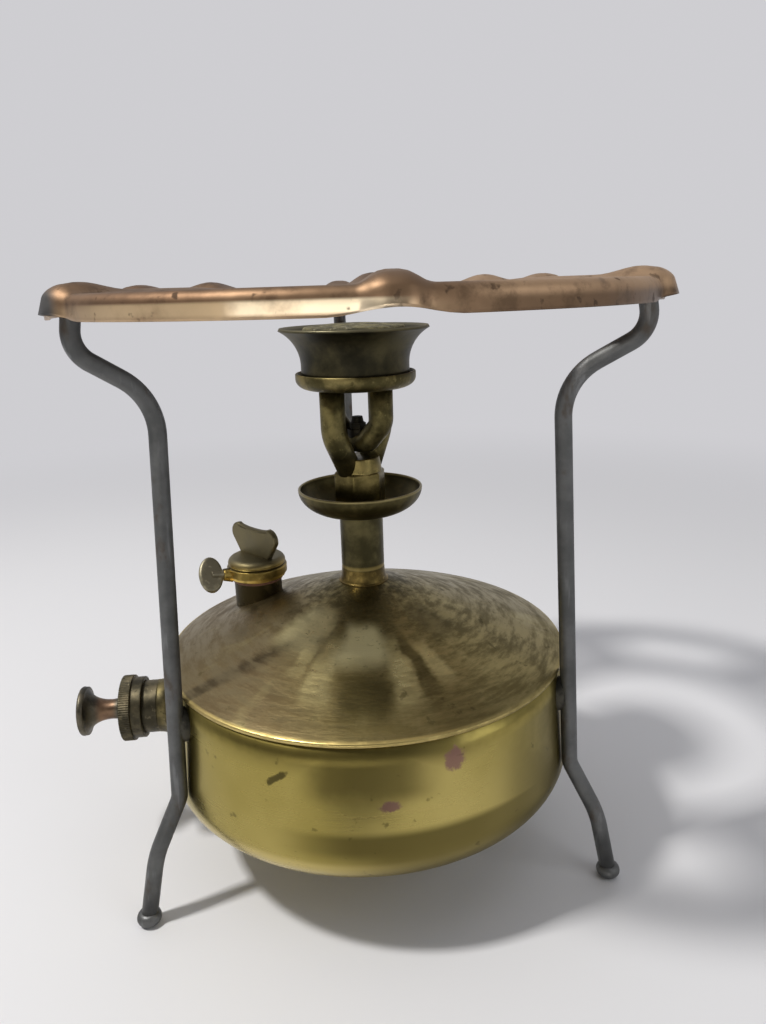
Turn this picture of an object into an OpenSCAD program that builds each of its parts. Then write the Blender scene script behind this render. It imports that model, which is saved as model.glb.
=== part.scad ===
// Three-legged brass pressure stove that burns paraffin vapour.
// A hand pump presses air into the tank, fuel climbs the riser into a roaring burner,
// and a pressed ring on three bent steel legs carries the pan.
// Millimetres, +Z up, feet on z = 0. Azimuth 0 is the front (-Y) and grows towards +X.

/* [Tank] */
// Diameter of the tank at its top seam
tank_d = 149; // [130:1:170]
// Height of the top seam above the table
seam_z = 79; // [70:0.5:95]
// Depth of the tank from the seam to its lowest rim
tank_depth = 51; // [48:0.5:60]
// Outward lean of the side wall, in degrees
wall_lean = 4; // [0:0.5:6]
// Radius of the rounded bottom edge
corner_r = 13; // [8:0.5:15]
// Rise of the dished bottom at its middle
bottom_dish = 5; // [2:0.5:8]
// Thickness of the brass sheet
sheet = 1; // [0.6:0.1:1.5]
// Slope of the conical top, in degrees
dome_slope = 20; // [12:0.5:25]
// Radius of the rolled seam
bead_r = 0.9; // [0.6:0.1:1.4]
// How far the rolled seam stands proud of the wall
bead_out = 0.5; // [0.2:0.1:1]

/* [Riser and spirit cup] */
// Diameter of the riser
riser_d = 16; // [13:0.5:20]
// Wall of the riser
riser_wall = 2.8; // [2:0.1:3.5]
// Length of the riser above the top of the dome
riser_h = 25.9; // [18:0.1:40]
// Height of the soldered collar at the foot of the riser
collar_h = 5; // [3:0.5:7]
// How far the collar stands out from the riser
collar_out = 1.4; // [0.8:0.1:4]
// Wall of the fuel pipe inside the tank
pickup_wall = 1.2; // [0.8:0.1:1.6]
// Gap between the fuel pipe and the tank's bottom
pickup_gap = 5; // [3:0.5:10]
// Length of the fuel pipe held inside the riser
pickup_grip = 8; // [5:0.5:12]
// Diameter of the spirit cup
cup_d = 45.6; // [36:0.2:54]
// Depth of the spirit cup
cup_depth = 9.7; // [7:0.1:14]
// Sheet of the spirit cup
cup_sheet = 0.9; // [0.6:0.1:1.4]

/* [Burner] */
// Hexagon of the burner base, across its flats
hex_af = 17; // [15:0.5:20]
// Height of the hexagon
hex_h = 13.9; // [10:0.1:18]
// Turn of the hexagon about the riser, in degrees
hex_turn = -18; // [-30:1:30]
// Height of the cone above the hexagon
base_cone_h = 5.2; // [3:0.1:7]
// Radius at the top of that cone
base_cone_r = 7.4; // [5.5:0.1:8]
// Length of the threaded spigot below the hexagon
spigot_h = 10; // [6:0.5:14]
// Thickness of the soft washer under the burner
washer_t = 1.2; // [0.8:0.1:2]
// Diameter of the rising tubes
up_tube_d = 8.8; // [7:0.2:9.4]
// Diameter of the vapour tube that falls to the jet
vapour_tube_d = 8.2; // [6:0.2:8.8]
// Wall of the burner tubes
tube_wall = 1.4; // [1:0.1:1.8]
// Radius of the circle on which the tubes enter the head
tube_circle_r = 12; // [11.4:0.1:12.4]
// Distance from the axis at which a rising tube leaves the base
tube_foot_r = 5; // [4.6:0.1:6]
// Height above the base cone at which the rising tubes become upright
tube_bend_h = 9.2; // [8:0.1:12]
// Height of the head above the base cone
tube_h = 25; // [22:0.2:34]
// Bend radius of the rising tubes
up_bend_r = 14; // [10:0.5:18]
// Turn of the tubes about the axis, in degrees
tube_turn = -49; // [-60:1:-30]
// Height of the vapour tube's crossing above the base cone
crossing_h = 5.6; // [5:0.1:8]
// Half the length of the vapour tube's level crossing
crossing_half = 4.2; // [4:0.1:5]
// Height at which the vapour tube turns inwards, above its crossing
vapour_bend_h = 7.4; // [6:0.1:10]
// Bend radius of the vapour tube at its two shoulders
vapour_shoulder_r = 6; // [5:0.2:8]
// Bend radius of the vapour tube at its crossing
vapour_cross_r = 5; // [4.6:0.1:6]
// Radius of the boss that carries the jet
boss_r = 3.8; // [3:0.1:4.5]
// Height of that boss above the vapour tube's axis
boss_h = 4.6; // [4.4:0.1:6]
// Radius of the jet's thread
jet_thread_r = 1.6; // [1.2:0.1:2]
// Hexagon of the jet, across its flats
jet_af = 5.4; // [4.6:0.1:5.6]
// Height of the jet's hexagon
jet_hex_h = 2.2; // [1.6:0.1:4]
// Radius of the jet's tip
jet_tip_r = 2.3; // [1.5:0.1:2.6]
// Height of the jet's tip
jet_tip_h = 2.2; // [1.5:0.1:4]
// Radius of the jet's orifice
jet_orifice_r = 0.4; // [0.3:0.05:0.6]
// Outer radius of the burner head
head_r = 21.3; // [19:0.1:25]
// Radius at which the head's underside starts to slope
head_foot_r = 16.6; // [16.4:0.1:18]
// Thickness of the head under its floor
head_t = 3.6; // [3:0.1:5]
// Height of the lip around the head's floor
lip_h = 1.9; // [1:0.1:3]
// Width of that lip
lip_w = 1; // [0.6:0.1:1.6]
// Radius of the gas hole in the head
gas_hole_r = 6.2; // [5:0.1:7]
// Outer radius of the bell where it stands in the head
bell_r = 19.1; // [17:0.1:19.8]
// Outer radius of the bell's flared rim
bell_rim_r = 26.4; // [22:0.1:30]
// Height of the bell
bell_h = 16.6; // [12:0.2:22]
// Height of the flared part of the bell
flare_h = 12; // [8:0.2:14]
// Sheet of the bell
bell_sheet = 1; // [0.7:0.1:1.4]
// Width of the bell's inturned foot
bell_foot_w = 3; // [2:0.2:4]
// Radius of the flame plate
plate_r = 17.9; // [15:0.1:19]
// Thickness of the flame plate
plate_t = 2.5; // [1:0.1:3.5]
// Rise of the flame plate at its middle
plate_dome = 1.2; // [0.5:0.1:3]
// How far the underside of the flame plate's edge lies below the bell's rim
plate_drop = 1.6; // [0:0.1:3]
// Radius of the flame plate's three pins
pin_r = 1.2; // [0.8:0.1:1.5]
// Distance of those pins from the axis
pin_circle_r = 13; // [11:0.1:14]

/* [Pan ring] */
// Outer radius of the pan ring
ring_r = 100; // [90:0.5:115]
// Height of the ring's flat top above the table
ring_z = 211.4; // [200:0.2:230]
// Radius of the ring's middle hole
ring_hole_r = 47; // [40:0.5:52]
// Sheet of the ring
ring_sheet = 1; // [0.8:0.1:1.4]
// Height of the turned-down skirt, from the flat top to its lower edge
skirt_h = 7; // [6:0.1:9]
// Radius of the bend between the flat top and the skirt
skirt_bend_r = 3.2; // [2:0.1:3.5]
// Inner radius of the kidney openings
kidney_in_r = 62; // [58:0.5:66]
// Outer radius of the kidney openings
kidney_out_r = 83; // [78:0.5:86]
// Half of the angle that a kidney opening covers, in degrees
kidney_half = 20; // [14:0.5:21]
// Squareness of the kidney openings' corners
kidney_power = 4; // [2:0.5:6]
// Height of the pressed ribs at their crests
rib_h = 3.2; // [2:0.1:5]
// Height of the ribs away from their crests
rib_saddle_h = 1; // [0.6:0.1:1.8]
// Half the width of a rib
rib_half_w = 9; // [7:0.5:11]
// Distance of the outer crest from the ring's edge
rib_outer_in = 7; // [6:0.5:10]
// Radius of the inner crest
rib_inner_r = 59.5; // [54:0.5:62]
// Half the length of a crest along the rib
rib_crest_half = 13; // [10:0.5:16]
// Fullness of a rib's rounded section
rib_full = 1.5; // [1:0.1:2]
// How far a rib pushes the skirt's lower edge outwards
rib_nose = 4; // [0:0.1:6]
// Height of the arch in the skirt under each rib
arch_h = 2; // [1:0.1:3]
// Half the width of that arch
arch_half_w = 16; // [12:0.5:20]
// How far the loose ring lies off the tank's axis, towards +X
ring_off = 1.6; // [0:0.1:1.8]
// Turn of the loose ring on its hooks, in degrees
ring_turn = 0.8; // [0:0.1:1]

/* [Legs] */
// Diameter of the leg rod
leg_d = 5.6; // [5:0.2:7]
// Radius of the circle on which the feet stand
foot_circle_r = 95.5; // [88:0.5:105]
// Lean of the legs' long straight run, in degrees
leg_lean = 3; // [0:0.5:5]
// Height at which the legs leave the wall
knee_z = 44; // [43:0.5:50]
// Height at which the shins turn down
shin_z = 25; // [16:0.5:32]
// How far the shins' bend lies inside the foot circle
shin_in = 5; // [3:0.5:8]
// Height at which the legs swing out to the ring
shoulder_z = 181; // [160:0.5:195]
// How far below the ring's flat top the legs turn up
hook_drop = 15.3; // [12:0.1:18]
// How far the hooked end lies inside the ring's edge
hook_in = 5.2; // [4.5:0.1:8]
// How far the hook's bend lies outside its end
hook_out = 2.3; // [1:0.1:2.6]
// Bend radius of the hook
hook_bend_r = 9.4; // [6:0.2:11]
// Bend radius of the shoulder
shoulder_bend_r = 20; // [12:0.5:24]
// Bend radius of the knee
knee_bend_r = 7; // [5:0.5:12]
// Bend radius of the shin
shin_bend_r = 36; // [24:1:44]
// Diameter of the upset foot
foot_d = 8.4; // [7:0.1:11]
// Height of the upset foot
foot_h = 5; // [3:0.1:8]
// Gap between a leg and the rolled seam
leg_gap = 0.2; // [0.1:0.05:0.4]
// Width of the solder between a leg and the wall
solder_w = 8; // [7:0.5:14]
// Height of that solder
solder_h = 13; // [10:0.5:20]

/* [Pump] */
// Height of the pump's axis
pump_z = 57.6; // [52:0.1:62]
// Outer diameter of the pump barrel
barrel_d = 19.8; // [18:0.2:23]
// Wall of the pump barrel
barrel_wall = 1.4; // [1:0.1:2]
// How far the barrel's outer end stands out beyond the tank's seam
barrel_out = 16.9; // [15:0.1:30]
// Distance from the tank's axis to the inner end of the barrel
barrel_start = 14; // [13:0.5:20]
// Height of the flared socket soldered round the barrel
socket_h = 5; // [3:0.5:8]
// How far the socket flares out at the wall
socket_out = 3.4; // [2:0.2:5]
// Diameter of the pump cap's flange
cap_d = 24.8; // [23:0.2:28]
// Diameter of the pump cap's skirt
cap_skirt_d = 23; // [22:0.2:24.6]
// Thickness of the cap's flange
cap_flange_t = 4.2; // [3:0.2:6]
// Length of the cap's skirt over the barrel
cap_skirt_h = 4; // [2:0.2:6]
// Thickness of the cap's end wall beyond the barrel
cap_end_t = 3; // [2:0.2:4]
// Diameter of the pump rod
rod_d = 5; // [4:0.2:6]
// Length of the pump knob
knob_h = 16; // [12:0.2:22]
// Diameter of the pump knob
knob_d = 18.6; // [15:0.2:22]
// Diameter of the knob's waist
knob_waist_d = 7.4; // [7:0.2:10]
// Diameter of the knob's base
knob_base_d = 11.4; // [9:0.2:14]
// Thickness of the knob's grip
knob_rim_t = 2.4; // [1.5:0.1:4]
// Height of the leather cup
leather_h = 7; // [5:0.2:9]
// Thickness of the leather
leather_t = 1.5; // [1:0.1:2]
// Gap between the leather and the check valve when the plunger is home
leather_gap = 2; // [1:0.2:4]
// Width and thickness of the rod's collar
rod_collar = 2; // [1:0.2:3]
// Thickness of the disc behind the leather
disc_t = 1.2; // [0.8:0.1:2]
// Hexagon of the leather's nut, across its flats
nut_af = 8; // [7:0.2:10]
// Height of the leather's nut
nut_h = 3; // [2:0.2:4]

/* [Check valve] */
// Length of the valve body inside the barrel
valve_in = 9; // [7:0.5:12]
// Thickness of the valve body's flange
valve_flange_t = 3.5; // [2.5:0.1:5]
// Thickness of the lead washer under the flange
valve_washer_t = 1; // [0.6:0.1:1.5]
// Radius of the valve chamber
chamber_r = 3.8; // [3.2:0.1:5]
// Thickness of the chamber's floor and of its seat
chamber_end_t = 1.2; // [0.8:0.1:2]
// Radius of the ports
port_r = 1.1; // [0.8:0.1:1.6]
// Length of the valve pip
pip_h = 2.6; // [2:0.1:3.5]
// Gap between the pip and its chamber
pip_gap = 0.3; // [0.2:0.05:0.5]
// Diameter of the spring wire
wire_d = 0.6; // [0.4:0.05:0.8]
// Mean radius of the spring
spring_r = 2.4; // [2:0.1:3]
// Number of the spring's turns
spring_turns = 4; // [3:1:5]

/* [Filler] */
// Distance of the filler from the tank's axis
filler_r = 48; // [42:0.5:54]
// Azimuth of the filler, in degrees
filler_az = -120; // [-125:1:-110]
// Height of the filler's mouth above the dome at its axis
neck_h = 8.2; // [7:0.2:12]
// Outer diameter of the filler's neck
neck_d = 19; // [17:0.2:22]
// Wall of the neck
neck_wall = 2.3; // [1.6:0.1:3]
// Length of the neck below the dome at its axis
neck_below = 5.5; // [4.5:0.2:9]
// Thickness of the gasket
gasket_t = 1.5; // [1:0.1:2.5]
// Diameter of the cap's lower flange
filler_flange_d = 24; // [22:0.2:28]
// Height of that flange
filler_flange_h = 5; // [4:0.1:6]
// Height of the bright lip under the flange
filler_lip_h = 1.4; // [1:0.1:2]
// How far that lip stands in from the flange
filler_lip_in = 0.8; // [0.4:0.1:1.4]
// Diameter of the cap's drum
filler_drum_d = 23; // [20:0.2:23.4]
// Height of the cap's drum
filler_drum_h = 3.3; // [2.5:0.1:5]
// Length of the cap's threaded plug
plug_h = 6.8; // [5:0.1:8]
// Turn of the wing plate about the cap, in degrees
wing_turn = -48; // [-90:1:90]
// Width across the wings
wing_w = 27; // [22:0.5:30]
// Width of the wing plate at its waist
waist_w = 17; // [13:0.5:19]
// Depth of the hollow between the wings
wing_notch = 1.2; // [1:0.1:4]
// Lean of the wings' flanks at their tips, in degrees
wing_flank = 20; // [10:1:35]
// Height of the wings above the cap
wing_h = 12.4; // [10:0.1:18]
// Thickness of the wing plate
wing_t = 2.4; // [1.6:0.1:3.5]
// Radius of the wings' rounded tips
wing_tip_r = 4.4; // [2:0.1:4.8]
// Azimuth of the air screw, in degrees
air_az = -68; // [-110:1:-50]
// Upward tilt of the air screw, in degrees
air_tilt = 10; // [6:1:16]
// Turn of the thumb plate about the air screw, in degrees
air_turn = 35; // [0:1:60]
// Height of the air screw above the cap's lip, at the flange's edge
air_rise = 2.2; // [2.1:0.1:2.6]
// Radius of the air screw's shank
air_r = 1.8; // [1.4:0.1:2.4]
// Length of the nose that carries the air screw, from the flange's edge
nose_h = 2.4; // [1.5:0.1:5]
// Height of the thumb plate
thumb_h = 14.6; // [11:0.2:18]
// Width of the thumb plate
thumb_w = 9.6; // [7:0.2:11]
// Thickness of the thumb plate
thumb_t = 2.4; // [1.6:0.1:3.5]

/* [Fits] */
// Radial clearance of running and soldered fits
fit = 0.05; // [0.02:0.01:0.1]
// Clearance between the leg hooks and the ring
rest_gap = 0.8; // [0.7:0.05:0.95]

/* [Hidden] */

$fn = 64;
fine = 360;
curve_steps = 12;
small_steps = 6;
dish_steps = 8;
past = 1;
brass = [0.55, 0.47, 0.20];
dark_brass = [0.33, 0.29, 0.17];
soot = [0.13, 0.12, 0.10];
steel = [0.30, 0.31, 0.32];
copper = [0.63, 0.43, 0.27];
hide = [0.35, 0.20, 0.14];
lead = [0.42, 0.42, 0.43];

tank_r = tank_d / 2;
bottom_z = seam_z - tank_depth;
corner_z = bottom_z + corner_r;
riser_r = riser_d / 2;
riser_bore_r = riser_r - riser_wall;
cup_r = cup_d / 2;
leg_r = leg_d / 2;
barrel_r = barrel_d / 2;
barrel_bore_r = barrel_r - barrel_wall;
rod_r = rod_d / 2;
neck_r = neck_d / 2;
neck_bore_r = neck_r - neck_wall;

// Outer radius of the side wall at a height, less an inset square to the wall
function wall_r(z, inset = 0) = tank_r + (seam_z - z) * tan(wall_lean) - inset / cos(wall_lean);
// Height of the conical top at a radius
function dome_z(r) = seam_z + 2 * bead_r + (tank_r - r) * tan(dome_slope);
sheet_drop = sheet / cos(dome_slope);

// Heights up the burner, each from the one below
dome_top_z = dome_z(riser_r);
riser_top_z = dome_top_z + riser_h;
hex_z = riser_top_z + cup_sheet + washer_t;
cone_z = hex_z + hex_h;
tubes_z = cone_z + base_cone_h;
head_z = tubes_z + tube_h;
floor_z = head_z + head_t;
bell_top_z = floor_z + bell_h;
crossing_z = tubes_z + crossing_h;
boss_top_z = crossing_z + boss_h;
socket_depth = 1;

// Distances out along the pump's axis
barrel_end = tank_d / 2 + barrel_out;
cap_face = barrel_end + cap_end_t;
knob_start = cap_face + fit;
knob_end = knob_start + knob_h;
valve_seat = barrel_start - valve_washer_t + valve_in;
valve_start = barrel_start - valve_washer_t - valve_flange_t;
chamber_start = valve_start + chamber_end_t;
chamber_end = valve_seat - chamber_end_t;
leather_start = valve_seat + leather_gap;
leather_end = leather_start + leather_h;
disc_end = leather_end + disc_t;

// The pump reaches further than the ring, so the tank's axis lies off the middle of the box
axis_x = (knob_end - ring_r - ring_off) / 2;

// A point at a radius and azimuth
function polar(r, az) = [r * sin(az), -r * cos(az), 0];

module on_axis() {
    translate([axis_x, 0, 0]) children();
}

// Turns the local +X axis to an azimuth
module to_azimuth(az) {
    rotate([0, 0, az - 90]) children();
}

// Local +Z runs out along the pump, from the tank's axis
module on_pump() {
    on_axis() translate([0, 0, pump_z]) rotate([0, -90, 0]) children();
}

// Local origin on the filler's axis, at the mouth of its neck
mouth_z = dome_z(filler_r) + neck_h;
module on_filler() {
    on_axis() translate(polar(filler_r, filler_az)) translate([0, 0, mouth_z]) children();
}

module ring(r_out, r_in, h) {
    rotate_extrude() translate([r_in, 0]) square([r_out - r_in, h]);
}

module hexagon(af, h) {
    cylinder(r = af / 2 / cos(30), h = h, $fn = 6);
}

// Points of an elliptic quarter from one angle to another
function arc(centre, a, b, from, to, steps) =
    [for (i = [0:steps]) let (t = from + (to - from) * i / steps) centre + [a * cos(t), b * sin(t)]];

// Rod bent in the local XZ plane: straight runs joined by arcs at the inner points
function heading(p, q) = (q - p) / norm(q - p);
function turn_at(p, i) =
    let (a = heading(p[i - 1], p[i]), b = heading(p[i], p[i + 1]))
    atan2(a[0] * b[1] - a[1] * b[0], a * b);
function trim(p, bend, i) =
    (i == 0 || i == len(p) - 1) ? 0 : bend[i - 1] * tan(abs(turn_at(p, i)) / 2);

module straight_run(a, b, r) {
    translate([a[0], 0, a[1]])
        rotate([0, atan2(b[0] - a[0], b[1] - a[1]), 0])
            cylinder(r = r, h = norm(b - a));
}

module bend_arc(p, bend, i, r) {
    turn = turn_at(p, i);
    side = turn > 0 ? 1 : -1;
    a = heading(p[i - 1], p[i]);
    b = heading(p[i], p[i + 1]);
    cut = trim(p, bend, i);
    left = [-a[1], a[0]] * side;
    centre = p[i] - a * cut + left * bend[i - 1];
    first = turn > 0 ? p[i] - a * cut - centre : p[i] + b * cut - centre;
    translate([centre[0], 0, centre[1]])
        rotate([90, 0, 0])
            rotate([0, 0, atan2(first[1], first[0])])
                rotate_extrude(angle = abs(turn)) translate([bend[i - 1], 0]) circle(r = r);
}

// A straight run reaches a little way into its elbows, which are a trace fatter
elbow_lap = 0.3;
elbow_swell = 0.04;
function lap(p, i) = (i == 0 || i == len(p) - 1) ? 0 : elbow_lap;

module bent_rod(p, bend, r) {
    for (i = [0:len(p) - 2]) {
        a = heading(p[i], p[i + 1]);
        straight_run(
            p[i] + a * (trim(p, bend, i) - lap(p, i)),
            p[i + 1] - a * (trim(p, bend, i + 1) - lap(p, i + 1)),
            r);
    }
    for (i = [1:len(p) - 2]) bend_arc(p, bend, i, r + elbow_swell);
}

// The same path with both ends lengthened
function longer(p, by) =
    [for (i = [0:len(p) - 1])
        i == 0 ? p[0] - heading(p[0], p[1]) * by :
        i == len(p) - 1 ? p[i] + heading(p[i - 1], p[i]) * by : p[i]];

module bent_tube(p, bend, r, wall) {
    difference() {
        bent_rod(p, bend, r);
        bent_rod(longer(p, past), bend, r - wall);
    }
}

// Tank

function pan_outline(inset) =
    let (reach = wall_r(corner_z, corner_r),
         bulge = (reach * reach + bottom_dish * bottom_dish) / (2 * bottom_dish))
    concat(
        [[wall_r(seam_z, inset), seam_z]],
        arc([reach, corner_z], corner_r - inset, corner_r - inset, wall_lean, -90, curve_steps),
        [for (i = [dish_steps - 1:-1:0])
            let (r = reach * i / dish_steps)
            [r, bottom_z + inset + bottom_dish - bulge + sqrt(bulge * bulge - r * r)]]);

function flipped(p) = [for (i = [len(p) - 1:-1:0]) p[i]];

module tank_pan() {
    color(brass) difference() {
        on_axis() rotate_extrude() polygon(concat(pan_outline(0), flipped(pan_outline(sheet))));
        on_pump() translate([0, 0, tank_r / 2]) cylinder(r = barrel_r + fit, h = tank_r);
    }
}

// Everything inside the straight part of the side wall
module wall_solid() {
    translate([0, 0, corner_z])
        cylinder(r1 = wall_r(corner_z), r2 = wall_r(seam_z), h = seam_z - corner_z, $fn = fine);
}

riser_hole_r = riser_r + fit;
neck_hole_r = neck_r + fit;

module tank_top() {
    outside = concat(
        [[riser_hole_r, dome_z(riser_hole_r)]],
        arc([tank_r + bead_out - bead_r, seam_z + bead_r], bead_r, bead_r, 90 - dome_slope, -90, dish_steps));
    inside = [
        [wall_r(seam_z, sheet), seam_z],
        [wall_r(seam_z, sheet), dome_z(wall_r(seam_z, sheet)) - sheet_drop],
        [riser_hole_r, dome_z(riser_hole_r) - sheet_drop]];
    color(brass) difference() {
        on_axis() rotate_extrude() polygon(concat(outside, inside));
        on_filler() translate([0, 0, -neck_h - neck_d]) cylinder(r = neck_hole_r, h = 2 * neck_d);
    }
}

// Riser and spirit cup

module riser_collar() {
    foot_r = riser_r + collar_out;
    color(brass) on_axis() rotate_extrude() polygon(concat(
        [[riser_hole_r, dome_z(riser_hole_r)], [foot_r, dome_z(foot_r)]],
        arc([foot_r, dome_top_z + collar_h], collar_out - fit,
            dome_top_z + collar_h - dome_z(foot_r) - sheet / 2, 270, 180, small_steps)));
}

riser_foot_z = dome_z(riser_r) - sheet_drop - collar_h;

module riser_tube() {
    color(dark_brass) on_axis() translate([0, 0, riser_foot_z])
        ring(riser_r, riser_bore_r, riser_top_z - riser_foot_z);
}

pickup_foot_z = bottom_z + bottom_dish + sheet + pickup_gap;

module pickup_tube() {
    pipe_r = riser_bore_r - fit;
    color(brass) on_axis() translate([0, 0, pickup_foot_z])
        ring(pipe_r, pipe_r - pickup_wall, riser_foot_z + pickup_grip - pickup_foot_z);
}

module spirit_cup() {
    rim = [riser_r, riser_top_z + cup_depth];
    color(dark_brass) on_axis() rotate_extrude() polygon(concat(
        [[riser_bore_r, riser_top_z]],
        arc(rim, cup_r - riser_r, cup_depth, 270, 360, curve_steps),
        arc(rim, cup_r - riser_r - cup_sheet, cup_depth - cup_sheet, 360, 270, curve_steps),
        [[riser_bore_r, riser_top_z + cup_sheet]]));
}

// Burner

up_r = up_tube_d / 2;
vapour_r = vapour_tube_d / 2;
tube_top_z = head_z + socket_depth;
up_path = [
    [tube_foot_r, tubes_z - base_cone_h + socket_depth],
    [tube_circle_r, tubes_z + tube_bend_h],
    [tube_circle_r, tube_top_z]];
up_bend = [up_bend_r];
vapour_path = [
    [-tube_circle_r, tube_top_z],
    [-tube_circle_r, crossing_z + vapour_bend_h],
    [-crossing_half, crossing_z],
    [crossing_half, crossing_z],
    [tube_circle_r, crossing_z + vapour_bend_h],
    [tube_circle_r, tube_top_z]];
vapour_bend = [vapour_shoulder_r, vapour_cross_r, vapour_cross_r, vapour_shoulder_r];

// The fuel passage ends inside the hexagon, where it meets a hole drilled along each rising tube
passage_cover = 7;
branch_share = 0.8;
cone_in = 0.2;

module burner_washer() {
    color(lead) on_axis() translate([0, 0, riser_top_z + cup_sheet]) ring(riser_r, riser_bore_r, washer_t);
}

module at_up_tubes() {
    for (half = [0, 180]) to_azimuth(tube_turn + half) children();
}

module at_vapour_tube() {
    to_azimuth(tube_turn + 90) children();
}

module burner_base() {
    spigot_r = riser_bore_r - fit;
    passage_r = up_r - tube_wall;
    passage_h = spigot_h + hex_h - passage_cover;
    slope = heading(up_path[0], up_path[1]);
    branch_meet = up_path[0] - slope * tube_foot_r / slope[0];
    color(brass) on_axis() difference() {
        union() {
            translate([0, 0, hex_z]) to_azimuth(hex_turn + 30) hexagon(hex_af, hex_h);
            translate([0, 0, cone_z])
                cylinder(r1 = hex_af / 2 - cone_in, r2 = base_cone_r, h = base_cone_h);
            translate([0, 0, hex_z - spigot_h]) cylinder(r = spigot_r, h = spigot_h);
        }
        translate([0, 0, hex_z - spigot_h - past]) cylinder(r = passage_r, h = passage_h + past);
        at_up_tubes() straight_run(up_path[0], up_path[1], up_r);
        at_up_tubes() straight_run(branch_meet, up_path[0], passage_r * branch_share);
    }
}

module up_tubes() {
    color(dark_brass) on_axis() at_up_tubes() bent_tube(up_path, up_bend, up_r, tube_wall);
}

module vapour_tube() {
    color(dark_brass) on_axis() at_vapour_tube() difference() {
        bent_tube(vapour_path, vapour_bend, vapour_r, tube_wall);
        translate([0, 0, crossing_z]) cylinder(r = jet_thread_r, h = vapour_tube_d);
    }
}

module jet_boss() {
    color(dark_brass) on_axis() at_vapour_tube() difference() {
        translate([0, 0, crossing_z]) cylinder(r = boss_r, h = boss_h);
        bent_rod(vapour_path, vapour_bend, vapour_r);
        translate([0, 0, crossing_z]) cylinder(r = jet_thread_r, h = boss_h + past);
    }
}

jet_taper = 0.8;

module jet_nipple() {
    thread_z = crossing_z + vapour_r - tube_wall;
    tip_z = boss_top_z + jet_hex_h;
    color(soot) on_axis() difference() {
        union() {
            translate([0, 0, thread_z]) cylinder(r = jet_thread_r - fit, h = boss_top_z - thread_z);
            at_vapour_tube() translate([0, 0, boss_top_z]) rotate([0, 0, 30]) hexagon(jet_af, jet_hex_h);
            translate([0, 0, tip_z]) cylinder(r1 = jet_tip_r, r2 = jet_tip_r * jet_taper, h = jet_tip_h);
        }
        translate([0, 0, thread_z - past])
            cylinder(r = jet_orifice_r, h = tip_z + jet_tip_h - thread_z + 2 * past);
    }
}

// Inset of the head's ring channel from the tubes' edges
channel_in = 0.6;

module burner_head() {
    channel = [tube_circle_r - up_r + channel_in, tube_circle_r + up_r - channel_in];
    color(dark_brass) on_axis() difference() {
        rotate_extrude() polygon(concat(
            [[gas_hole_r, head_z]],
            arc([head_foot_r, floor_z], head_r - head_foot_r, head_t, -90, 0, small_steps),
            [[head_r, floor_z + lip_h],
             [head_r - lip_w, floor_z + lip_h],
             [head_r - lip_w, floor_z],
             [gas_hole_r, floor_z]]));
        translate([0, 0, tube_top_z]) ring(channel[1], channel[0], head_t - 2 * socket_depth);
        at_up_tubes() translate([tube_circle_r, 0, head_z - past])
            cylinder(r = up_r, h = socket_depth + past);
        for (side = [-1, 1]) at_vapour_tube() translate([side * tube_circle_r, 0, head_z - past])
            cylinder(r = vapour_r, h = socket_depth + past);
    }
}

// The flare is a part of a circle that leaves the upright wall smoothly
function bell_outline(inset) =
    let (out = bell_rim_r - bell_r,
         bend = (flare_h * flare_h + out * out) / (2 * out),
         centre = [bell_r + bend, bell_top_z - flare_h])
    concat(
        [[bell_r - inset, floor_z + inset]],
        arc(centre, bend + inset, bend + inset, 180, 180 - asin(flare_h / bend), curve_steps));

module burner_bell() {
    foot_in_r = bell_r - bell_foot_w;
    color(soot) on_axis() rotate_extrude() polygon(concat(
        [[foot_in_r, floor_z]],
        bell_outline(0),
        flipped(bell_outline(bell_sheet)),
        [[foot_in_r, floor_z + bell_sheet]]));
}

plate_z = bell_top_z - plate_drop;

module flame_plate() {
    curve = (plate_r * plate_r + plate_dome * plate_dome) / (2 * plate_dome);
    function cap_z(r) = sqrt(curve * curve - r * r) - curve + plate_dome;
    color(soot) on_axis() {
        rotate_extrude() polygon(concat(
            [for (i = [0:dish_steps]) let (r = plate_r * i / dish_steps) [r, plate_z + plate_t + cap_z(r)]],
            [for (i = [dish_steps:-1:0]) let (r = plate_r * i / dish_steps) [r, plate_z + cap_z(r)]]));
        for (k = [0:2]) rotate([0, 0, 120 * k]) translate([pin_circle_r, 0, floor_z])
            cylinder(r = pin_r, h = plate_z + cap_z(pin_circle_r) + plate_t / 2 - floor_z);
    }
}

// Pan ring: six like sectors, each a grid of rings that spreads from the edge of its
// kidney opening to the middle lines of the two ribs beside it

sectors = 6;
half_sector = 180 / sectors;
arc_steps = 16;
side_steps = 12;
grid_rows = 4;
bend_steps = 3;
loop_steps = 2 * (arc_steps + side_steps);
left_corner = arc_steps;
inner_corner = arc_steps + side_steps;
right_corner = inner_corner + arc_steps;
ring_edge_r = ring_r - skirt_bend_r;

function hump(x, half) = abs(x) >= half ? 0 : pow(cos(90 * x / half), 2);
function rib_section(x) = abs(x) >= rib_half_w ? 0 : pow(cos(90 * pow(abs(x) / rib_half_w, rib_full)), 2);
function rib_across(r, az) = r * sin(half_sector - abs(az));
function rib_along(r, inner) =
    rib_saddle_h * min(1, max(0, (r - ring_hole_r) / (rib_inner_r - ring_hole_r)))
    + (rib_h - rib_saddle_h) * max(inner * hump(r - rib_inner_r, rib_crest_half),
                                   hump(r - (ring_r - rib_outer_in), rib_crest_half));
function ring_rise(r, az, inner) = rib_along(r, inner) * rib_section(rib_across(r, az));
// The ribs over the legs have an outer crest only; every other rib has an inner one too
function inner_crest(sector, az) = (sector % 2 == 0) == (az < 0) ? 1 : 0;

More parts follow.
